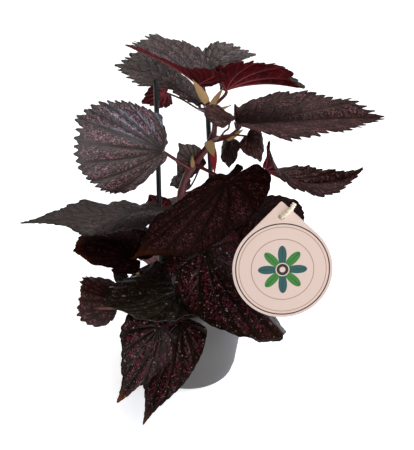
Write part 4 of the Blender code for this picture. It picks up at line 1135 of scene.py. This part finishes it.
def joined(name, pieces):
    """One closed body from overlapping objects."""
    group = bpy.data.collections.new(name + "_pieces")
    bpy.context.scene.collection.children.link(group)
    for piece in pieces[1:]:
        bpy.context.scene.collection.objects.unlink(piece)
        group.objects.link(piece)
    union = pieces[0].modifiers.new("Union", "BOOLEAN")
    union.operation = "UNION"
    union.operand_type = "COLLECTION"
    union.collection = group
    mesh = evaluated_mesh(pieces[0])
    for piece in pieces:
        bpy.data.objects.remove(piece)
    bpy.data.collections.remove(group)
    mesh.shade_smooth()
    mesh.set_sharp_from_angle(angle=SHARP_STEM_TURN)
    return link(bpy.data.objects.new(name, mesh))


def cane_point(route, height):
    """Where a cane's axis is at a height."""
    heights = [point[2] for point in route]
    return np.array([np.interp(height, heights, [point[axis] for point in route]) for axis in range(3)])


def petiole_line(stalk, blade, start):
    """Points of a stalk from the cane's axis to its blade, and its radius."""
    span, along, _, up = blade_axes(blade)
    radius = PETIOLE_RADIUS if span > LARGE_LEAF else SMALL_PETIOLE_RADIUS
    away = -(up * math.cos(stalk["lean"]) + along * math.sin(stalk["lean"]))
    end = blade["base"] - up * PETIOLE_GAP
    reach = np.linalg.norm(end - start)
    if stalk["via"]:
        last = end + away * min(PETIOLE_REACH, PETIOLE_REACH_SHARE * reach)
        return smooth_route([start, *stalk["via"], last, end], PETIOLE_STEPS), radius
    inner = end + away * PETIOLE_PULL * reach
    outer = start + (inner - start) * PETIOLE_PULL
    return [(1 - t) ** 3 * start + 3 * (1 - t) ** 2 * t * outer + 3 * (1 - t) * t ** 2 * inner
            + t ** 3 * end for t in np.linspace(0, 1, 15)], radius


def dress_cane(name, cane, blades, settings, material):
    """A cane with swollen nodes and its petioles, which widen where they leave it."""
    axis = [np.array(point) * MM for point in cane["axis"]]
    route = smooth_route(axis, CANE_STEPS)
    plain = MM * np.interp(np.linspace(0, 1, len(route)), np.linspace(0, 1, len(axis)), cane["radii"])
    heights = np.array([point[2] for point in route])
    radii = plain.copy()
    for stalk in cane["petioles"]:
        radii += settings.node_swelling * np.exp(-((heights - stalk["start"]) / NODE_REACH) ** 2)
    radii = np.minimum(radii, plain + NODE_LIMIT * settings.node_swelling)
    work = tube(route, radii, CANE_RESOLUTION)
    paint(work, "young", 0.0)
    pieces = [mesh_piece(name, work)]
    for stalk in cane["petioles"]:
        line, radius = petiole_line(stalk, blades[stalk["leaf"]], cane_point(route, stalk["start"]))
        along = np.linspace(0, 1, len(line))
        flare = PETIOLE_FLARE * np.exp(-(along / PETIOLE_FLARE_REACH) ** 2)
        radii = radius * (1 + PETIOLE_TAPER + flare - PETIOLE_TAPER * along)
        work = tube(line, radii, PETIOLE_RESOLUTION)
        paint(work, "young", 1.0)
        pieces.append(mesh_piece("petiole", work))
    return finish_piece(joined(name + "_skin", pieces), [material], (name,))


def dress_scale(name, base, tip, width, material):
    """A stipule or bract: a hollow scale with a pointed tip, ribs and a slightly torn edge."""
    draw = np.random.default_rng(sum(map(ord, name)))
    base, tip, wide = np.array(base) * MM, np.array(tip) * MM, width * MM
    reach = np.linalg.norm(tip - base)
    ahead = (tip - base) / reach
    left = np.cross(ahead, (0, -1, 0))
    left /= np.linalg.norm(left)
    count, rows = SCALE_GRID
    work = bmesh.new()
    bmesh.ops.create_grid(work, x_segments=count, y_segments=rows, size=0.5)
    flat_uv = work.loops.layers.uv.new("Flat")
    for face in work.faces:
        for loop in face.loops:
            loop[flat_uv].uv = (loop.vert.co.x + 0.5, loop.vert.co.y + 0.5)
    places = np.arange(count + 1)
    torn = np.interp(places, places[::2], draw.uniform(*SCALE_TEAR, len(places[::2])))
    phase = draw.uniform(0, 2 * math.pi)
    for vert in work.verts:
        share, across = vert.co.x + 0.5, vert.co.y
        blunt = SCALE_BLUNTNESS + (1 - SCALE_BLUNTNESS) * share
        half = wide * math.sin(math.pi * blunt ** SCALE_FULLNESS) * torn[round(share * count)]
        side = across * half
        deep = SCALE_DEEPER * SCALE_HOLLOW * side ** 2 / wide
        deep += SCALE_RIB * math.cos(across * SCALE_RIBS)
        deep += SCALE_CURL * share ** 2 * math.sin(3 * share + phase + 4 * across)
        vert.co = Vector((share * reach, side, deep))
    place = axes_of(ahead, left, np.cross(ahead, left), base)
    bmesh.ops.transform(work, matrix=place, verts=work.verts)
    merge(work)
    obj = mesh_piece(name + "_scale", work)
    thicken(obj, SCALE_THICKNESS)
    return finish_piece(obj, [material], (name,))


def spun(name, profile, steps):
    """A turned piece from a closed profile of (radius, height)."""
    work = bmesh.new()
    verts = [work.verts.new((radius, 0, height)) for radius, height in profile]
    edges = [work.edges.new(pair) for pair in zip(verts, verts[1:])]
    bmesh.ops.spin(work, geom=verts + edges, cent=(0, 0, 0), axis=(0, 0, 1), angle=2 * math.pi,
                   steps=steps, use_merge=True)
    merge(work)
    obj = mesh_piece(name, work)
    obj.data.set_sharp_from_angle(angle=SHARP_TURN)
    return obj


def arc(middle, radius, start, end, steps):
    """Points of an arc in its own plane, angles in degrees."""
    return [(middle[0] + radius * math.cos(turn), middle[1] + radius * math.sin(turn))
            for turn in np.radians(np.linspace(start, end, steps + 1))]


def pot_outer_radius(height):
    """The tapered wall's outer radius at a height."""
    return POT_BASE_RADIUS + height * math.tan(POT_TAPER)


def dress_pot(settings):
    """The pot: tapered wall, rounded heel, a plain band with softened edges and drain holes."""
    taper = math.degrees(POT_TAPER)
    band_foot = POT_HEIGHT - POT_BAND_HEIGHT
    rim = pot_outer_radius(POT_HEIGHT) + POT_BAND_STEP
    lip = POT_HEIGHT - POT_LIP
    profile = [(0, POT_FLOOR), (POT_BASE_RADIUS - POT_HEEL, POT_FLOOR),
               (pot_outer_radius(POT_HEEL) - POT_WALL, POT_HEEL)]
    profile += [(pot_outer_radius(height) - POT_WALL, height)
                for height in np.linspace(0.2 * POT_HEIGHT, lip, 8)]
    profile += arc((rim - 2 * POT_LIP, lip), POT_LIP, 150, 90, 2)
    profile += arc((rim - POT_LIP, lip), POT_LIP, 90, -taper, 4)
    profile += arc((pot_outer_radius(band_foot) + POT_BAND_STEP - POT_LIP, band_foot + POT_LIP),
                   POT_LIP, -taper, -80, 3)
    profile += [(pot_outer_radius(height), height)
                for height in np.linspace(band_foot - POT_BAND_STEP, POT_HEEL + 4 * MM, 10)]
    profile += arc((POT_BASE_RADIUS - POT_HEEL, POT_HEEL), POT_HEEL, -taper, -90, 11)
    pot = spun("pot_moulding", profile + [(0, 0)], POT_STEPS)
    drains = []
    for x, y in arc((0, 0), DRAIN_CIRCLE, 0, 360, DRAIN_HOLES)[:-1]:
        work = bmesh.new()
        bmesh.ops.create_cone(work, cap_ends=True, segments=32, radius1=DRAIN_RADIUS,
                              radius2=DRAIN_RADIUS, depth=4 * POT_FLOOR)
        bmesh.ops.translate(work, verts=work.verts, vec=(x, y, 0))
        drains.append(mesh_piece("drain", work))
        cut = pot.modifiers.new("Drain", "BOOLEAN")
        cut.operation = "DIFFERENCE"
        cut.object = drains[-1]
    mesh = evaluated_mesh(pot)
    pot.modifiers.clear()
    pot.data = mesh
    for drain in drains:
        bpy.data.objects.remove(drain)
    mesh.set_sharp_from_angle(angle=SHARP_TURN)
    return finish_piece(pot, [pot_plastic(settings)], ("pot",))


def dress_soil(settings):
    """Lumpy peat in the pot, with loose crumbs on it."""
    draw = np.random.default_rng(SOIL_SEED)
    side = pot_outer_radius(SOIL_TOP) - POT_WALL - SOIL_GAP
    foot = POT_FLOOR + SOIL_LIFT
    profile = [(side * share, SOIL_TOP + SOIL_DOME * (1 - share ** 2))
               for share in np.linspace(0, 1, 26)]
    profile += [(pot_outer_radius(POT_HEEL) - POT_WALL - SOIL_GAP, POT_HEEL),
                (POT_BASE_RADIUS - POT_HEEL - SOIL_HEEL, foot), (0, foot)]
    soil = spun("peat", profile, SOIL_STEPS)
    lumps = draw.uniform(-1, 1, (SOIL_LUMPS, 2)) * side
    depths = draw.uniform(*LUMP_HEIGHTS, SOIL_LUMPS) * MM
    for vert in soil.data.vertices:
        if vert.co.z > SOIL_TOP - MM:
            far = np.hypot(lumps[:, 0] - vert.co.x, lumps[:, 1] - vert.co.y)
            vert.co.z += float(np.sum(depths * np.exp(-(far / LUMP_REACH) ** 2)))
            vert.co.z += draw.uniform(-SOIL_GRAIN, SOIL_GRAIN) * MM
    work = bmesh.new()
    work.from_mesh(soil.data)
    for _ in range(settings.crumbs):
        size = draw.uniform(*CRUMB_SIZES) * MM
        turn, out = draw.uniform(0, 2 * math.pi), side * CRUMB_CIRCLE * math.sqrt(draw.uniform(0, 1))
        height = SOIL_TOP + SOIL_DOME * (1 - (out / side) ** 2) + draw.uniform(*CRUMB_LIFTS) * MM
        made = bmesh.ops.create_icosphere(work, subdivisions=1, radius=size)["verts"]
        sides, flatness = draw.uniform(*CRUMB_STRETCHES, 2), draw.uniform(*CRUMB_FLATNESS)
        stretch = Matrix.Diagonal((*sides, flatness, 1))
        spin = Matrix.Rotation(draw.uniform(0, 2 * math.pi), 4, "Z")
        place = Matrix.Translation((out * math.cos(turn), out * math.sin(turn), height))
        bmesh.ops.transform(work, matrix=place @ spin @ stretch, verts=made)
    work.to_mesh(soil.data)
    work.free()
    return finish_piece(soil, [potting_peat(settings)], ("soil",))


def dress_stake(name, material):
    """A stiff round stake with a rounded top."""
    at_soil, at_top, height = STAKES[name]
    soil_end = np.array((*at_soil, SOIL_TOP / MM)) * MM
    top = np.array((*at_top, height)) * MM
    ahead = (top - soil_end) / (top[2] - soil_end[2])
    foot = soil_end + ahead * (STAKE_FOOT - soil_end[2])
    form = [*STAKE_FOOT_FORM, *((share, 1) for share in np.linspace(0.02, 0.985, 24)), *STAKE_TOP_FORM]
    work = tube([foot + (top - foot) * share for share, _ in form],
                [width * STAKE_RADIUS for _, width in form], STAKE_RESOLUTION)
    return finish_piece(mesh_piece(name + "_rod", work), [material], (name,))


def tag_matrix():
    """The tag's own axes: X to the right, Y up the tag, Z out of its face."""
    up = np.array((-math.sin(TAG_TURN), math.sin(TAG_LEAN), math.cos(TAG_LEAN)))
    up /= np.linalg.norm(up)
    right = np.cross(up, (0, -1, 0))
    right /= np.linalg.norm(right)
    return axes_of(right, up, np.cross(right, up), np.array(TAG_MIDDLE) * MM)


def dress_tag(settings):
    """The hang tag: a drop of card with a hole, printed on its front."""
    tip_middle = TAG_POINT - TAG_POINT_ROUNDING
    side = math.degrees(math.acos((TAG_RADIUS - TAG_POINT_ROUNDING) / tip_middle))
    outline = arc((0, tip_middle), TAG_POINT_ROUNDING, 90 - side, 90 + side, 8)
    outline += arc((0, 0), TAG_RADIUS, 90 + side, 450 - side, 96)
    hole = arc((0, TAG_HOLE_HEIGHT), TAG_HOLE_RADIUS, 0, 360, 32)[:-1]
    lines = [[(x, y, 0) for x, y in line] for line in (outline, hole)]
    work = swept(lines, True, dimensions="2D", fill_mode="BOTH", extrude=TAG_THICKNESS / 2)
    flat_uv = work.loops.layers.uv.new("Flat")
    for face in work.faces:
        face.material_index = 0 if face.normal.z > 0.5 else 1
        for loop in face.loops:
            loop[flat_uv].uv = loop.vert.co.xy
    bmesh.ops.transform(work, matrix=tag_matrix(), verts=work.verts)
    tag = mesh_piece("hang_tag", work, smooth=False)
    return finish_piece(tag, [printed_card(settings), plain_card(settings)], ("tag",))


def tie_route():
    """The tie's points, from its knot round a petiole, through the tag's hole and back."""
    place = tag_matrix()
    route = [np.array(point) * MM for point in TIE_ON_PLANT]
    route += [np.array(place @ (Vector(point) * MM)) for point in TIE_AT_TAG]
    route += [np.array(point) * MM for point in TIE_BACK]
    return np.array(smooth_route(route, TIE_STEPS))


def walk(line, pitch):
    """Points of a line at even steps of about the pitch, and how far along it each is."""
    walked = np.concatenate([[0], np.cumsum(np.linalg.norm(np.diff(line, axis=0), axis=1))])
    samples = np.linspace(0, walked[-1], round(walked[-1] / pitch) + 1)
    return np.stack([np.interp(samples, walked, line[:, axis]) for axis in range(3)], axis=1), samples


def twisted(line, radius):
    """Two yarns twisted round each other along a line, as one bmesh."""
    path, samples = walk(line, TWIST_PITCH / 10)
    ahead = np.gradient(path, axis=0)
    ahead /= np.linalg.norm(ahead, axis=1)[:, None]
    side = np.cross(ahead, TWIST_REFERENCE)
    side /= np.linalg.norm(side, axis=1)[:, None]
    over = np.cross(ahead, side)
    both = bmesh.new()
    for start in (0, math.pi):
        turn = (start + 2 * math.pi * samples / TWIST_PITCH)[:, None]
        yarn = path + YARN_OFFSET * radius * (side * np.cos(turn) + over * np.sin(turn))
        strand = tube(yarn, [YARN_SHARE * radius] * len(yarn), YARN_RESOLUTION)
        mesh = bpy.data.meshes.new("yarn")
        strand.to_mesh(mesh)
        strand.free()
        both.from_mesh(mesh)
        bpy.data.meshes.remove(mesh)
    return both


def dress_tie(settings):
    """The tie: a twisted cotton cord in one loop that ends in an overhand knot."""
    line = tie_route()
    radius = settings.cord_radius
    cotton = cotton_cord(settings)
    tie = finish_piece(mesh_piece("tie_cord", twisted(line, radius)), [cotton], ("tag_tie",))
    middle = (line[0] + line[-1]) / 2
    ball = [middle + KNOT_SIZE * np.array((
        math.sin(t) + 2 * math.sin(2 * t), -KNOT_DEPTH * math.sin(3 * t),
        math.cos(t) - 2 * math.cos(2 * t))) for t in np.linspace(0, 2 * math.pi, 61)[:-2]]
    ends = [ball[0] + np.array(offset) * MM for offset in KNOT_END]
    work = twisted(np.array(ends + ball), KNOT_CORD * radius)
    knot = finish_piece(mesh_piece("tie_knot", work), [cotton])


def hang_lamp(name, kind, place, target, **settings):
    """Hang a lamp at a place, aimed at the target. settings are the light's own."""
    light = bpy.data.lights.new(name, kind)
    for key, value in settings.items():
        setattr(light, key, value)
    lamp = link(bpy.data.objects.new(name, light))
    lamp.location = place
    lamp.rotation_euler = (Vector(target) - Vector(place)).to_track_quat("-Z", "Y").to_euler()


def dress_stage(settings):
    """A pale floor, an overhead softbox, a cool window light behind and a weak fill."""
    work = bmesh.new()
    bmesh.ops.create_grid(work, x_segments=2, y_segments=2, size=FLOOR_SIZE)
    floor = mesh_piece("studio_floor", work)
    material, tree, shader = new_material("matt_paper_sweep", 0.9, 0.1)
    shader.inputs["Base Color"].default_value = settings.floor[:]
    shader.inputs["Emission Color"].default_value = settings.floor[:]
    shader.inputs["Emission Strength"].default_value = FLOOR_GLOW
    floor.data.materials.append(material)
    world = bpy.data.worlds.new("studio")
    bpy.context.scene.world = world
    world.use_nodes = True
    tree = world.node_tree
    upward = add(tree, "SeparateXYZ", add(tree, "TexCoord").outputs["Generated"]).outputs[2]
    ceiling = add(tree, "MapRange", upward, 0.0, 1.0, SURROUND_SIDES * settings.surround,
                  settings.surround)
    tree.links.new(ceiling.outputs[0], tree.nodes["Background"].inputs["Strength"])
    hang_lamp("skylight", "SUN", SKYLIGHT_PLACE, (0, 0, 0), energy=settings.skylight,
              angle=SKYLIGHT_ANGLE)
    hang_lamp("window", "AREA", WINDOW_PLACE, WINDOW_TARGET, energy=settings.window, size=WINDOW_SIZE,
              color=linear(WINDOW_TONE)[:3])
    hang_lamp("fill", "AREA", FILL_PLACE, FILL_TARGET, energy=settings.fill, size=FILL_SIZE)


def place_camera():
    """The photograph's view: a step back, looking down on the plant."""
    camera = bpy.data.cameras.new("camera")
    camera.sensor_width = CAMERA_SENSOR
    camera.lens = CAMERA_LENS
    camera.clip_start = CAMERA_NEAR
    view = link(bpy.data.objects.new("camera", camera))
    view.location = CAMERA_PLACE
    view.rotation_euler = (CAMERA_PITCH, 0, 0)
    bpy.context.scene.camera = view
    bpy.context.scene.view_settings.view_transform = "Standard"


def props(name):
    """The settings of one group of pieces."""
    return getattr(bpy.context.scene, name)


class BEGONIA_OT_stage(bpy.types.Operator):
    """Set up the floor, the lights and the camera"""
    bl_idname = "begonia.stage"
    bl_label = "Stage and Camera"

    def execute(self, context):
        place_camera()
        dress_stage(props("begonia_stage"))
        return {"FINISHED"}


class BEGONIA_OT_tie(bpy.types.Operator):
    """Twist the tag's tie"""
    bl_idname = "begonia.tie"
    bl_label = "Tie"

    def execute(self, context):
        dress_tie(props("begonia_tag"))
        return {"FINISHED"}


class BEGONIA_OT_tag(bpy.types.Operator):
    """Cut and print the hang tag"""
    bl_idname = "begonia.tag"
    bl_label = "Hang Tag"

    def execute(self, context):
        dress_tag(props("begonia_tag"))
        return {"FINISHED"}


class BEGONIA_OT_leaves(bpy.types.Operator):
    """Grow every leaf blade"""
    bl_idname = "begonia.leaves"
    bl_label = "Leaves"

    def execute(self, context):
        settings = props("begonia_leaves")
        under = leaf_underside(settings)
        tops = {name: leaf_top("begonia_leaf_" + name, look, settings) for name, look in LOOKS.items()}
        for blade in LEAVES:
            dress_leaf(blade, settings, [tops[blade["look"]], under])
        return {"FINISHED"}


class BEGONIA_OT_canes(bpy.types.Operator):
    """Grow the canes with their petioles"""
    bl_idname = "begonia.canes"
    bl_label = "Canes and Petioles"

    def execute(self, context):
        settings = props("begonia_stems")
        skin = stem_skin(settings)
        blades = {blade["name"]: blade for blade in LEAVES}
        for name, cane in CANES.items():
            dress_cane(name, cane, blades, settings, skin)
        return {"FINISHED"}


class BEGONIA_OT_scales(bpy.types.Operator):
    """Grow the stipules and the bract"""
    bl_idname = "begonia.scales"
    bl_label = "Stipules and Bract"

    def execute(self, context):
        settings = props("begonia_stems")
        papers = {"stipule": papery_scale("dry_stipule", settings.stipule, settings.stipule_edge),
                  "bract": papery_scale("red_bract", settings.bract, settings.cane)}
        for name, (base, tip, width, kind) in SCALES.items():
            dress_scale(name, base, tip, width, papers[kind])
        return {"FINISHED"}


class BEGONIA_OT_pot(bpy.types.Operator):
    """Mould the pot, fill it and set the stakes"""
    bl_idname = "begonia.pot"
    bl_label = "Pot, Soil and Stakes"

    def execute(self, context):
        settings = props("begonia_pot")
        dress_pot(settings)
        dress_soil(settings)
        plastic = stake_plastic(props("begonia_stems"))
        for name in STAKES:
            dress_stake(name, plastic)
        return {"FINISHED"}


OPERATORS = (BEGONIA_OT_stage, BEGONIA_OT_tie, BEGONIA_OT_tag, BEGONIA_OT_leaves, BEGONIA_OT_canes,
             BEGONIA_OT_scales, BEGONIA_OT_pot)


class BEGONIA_PT_panel(bpy.types.Panel):
    """The plant's pieces and their settings"""
    bl_idname = "BEGONIA_PT_panel"
    bl_label = "Potted Begonia"
    bl_space_type = "VIEW_3D"
    bl_region_type = "UI"
    bl_category = "Begonia"

    def draw(self, context):
        for operator in OPERATORS:
            self.layout.operator(operator.bl_idname)
        for name, group in SETTINGS.items():
            box = self.layout.box()
            for key in group.__annotations__:
                box.prop(getattr(context.scene, name), key)


def register():
    for kind in (*SETTINGS.values(), *OPERATORS, BEGONIA_PT_panel):
        bpy.utils.register_class(kind)
    for name, group in SETTINGS.items():
        setattr(bpy.types.Scene, name, bpy.props.PointerProperty(type=group))


def unregister():
    for name in SETTINGS:
        delattr(bpy.types.Scene, name)
    for kind in (BEGONIA_PT_panel, *reversed(OPERATORS), *SETTINGS.values()):
        bpy.utils.unregister_class(kind)


def main():
    register()
    bpy.ops.begonia.stage()
    bpy.ops.begonia.tie()
    bpy.ops.begonia.tag()
    bpy.ops.begonia.leaves()
    bpy.ops.begonia.canes()
    bpy.ops.begonia.scales()
    bpy.ops.begonia.pot()
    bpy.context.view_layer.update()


if __name__ == "__main__":
    main()
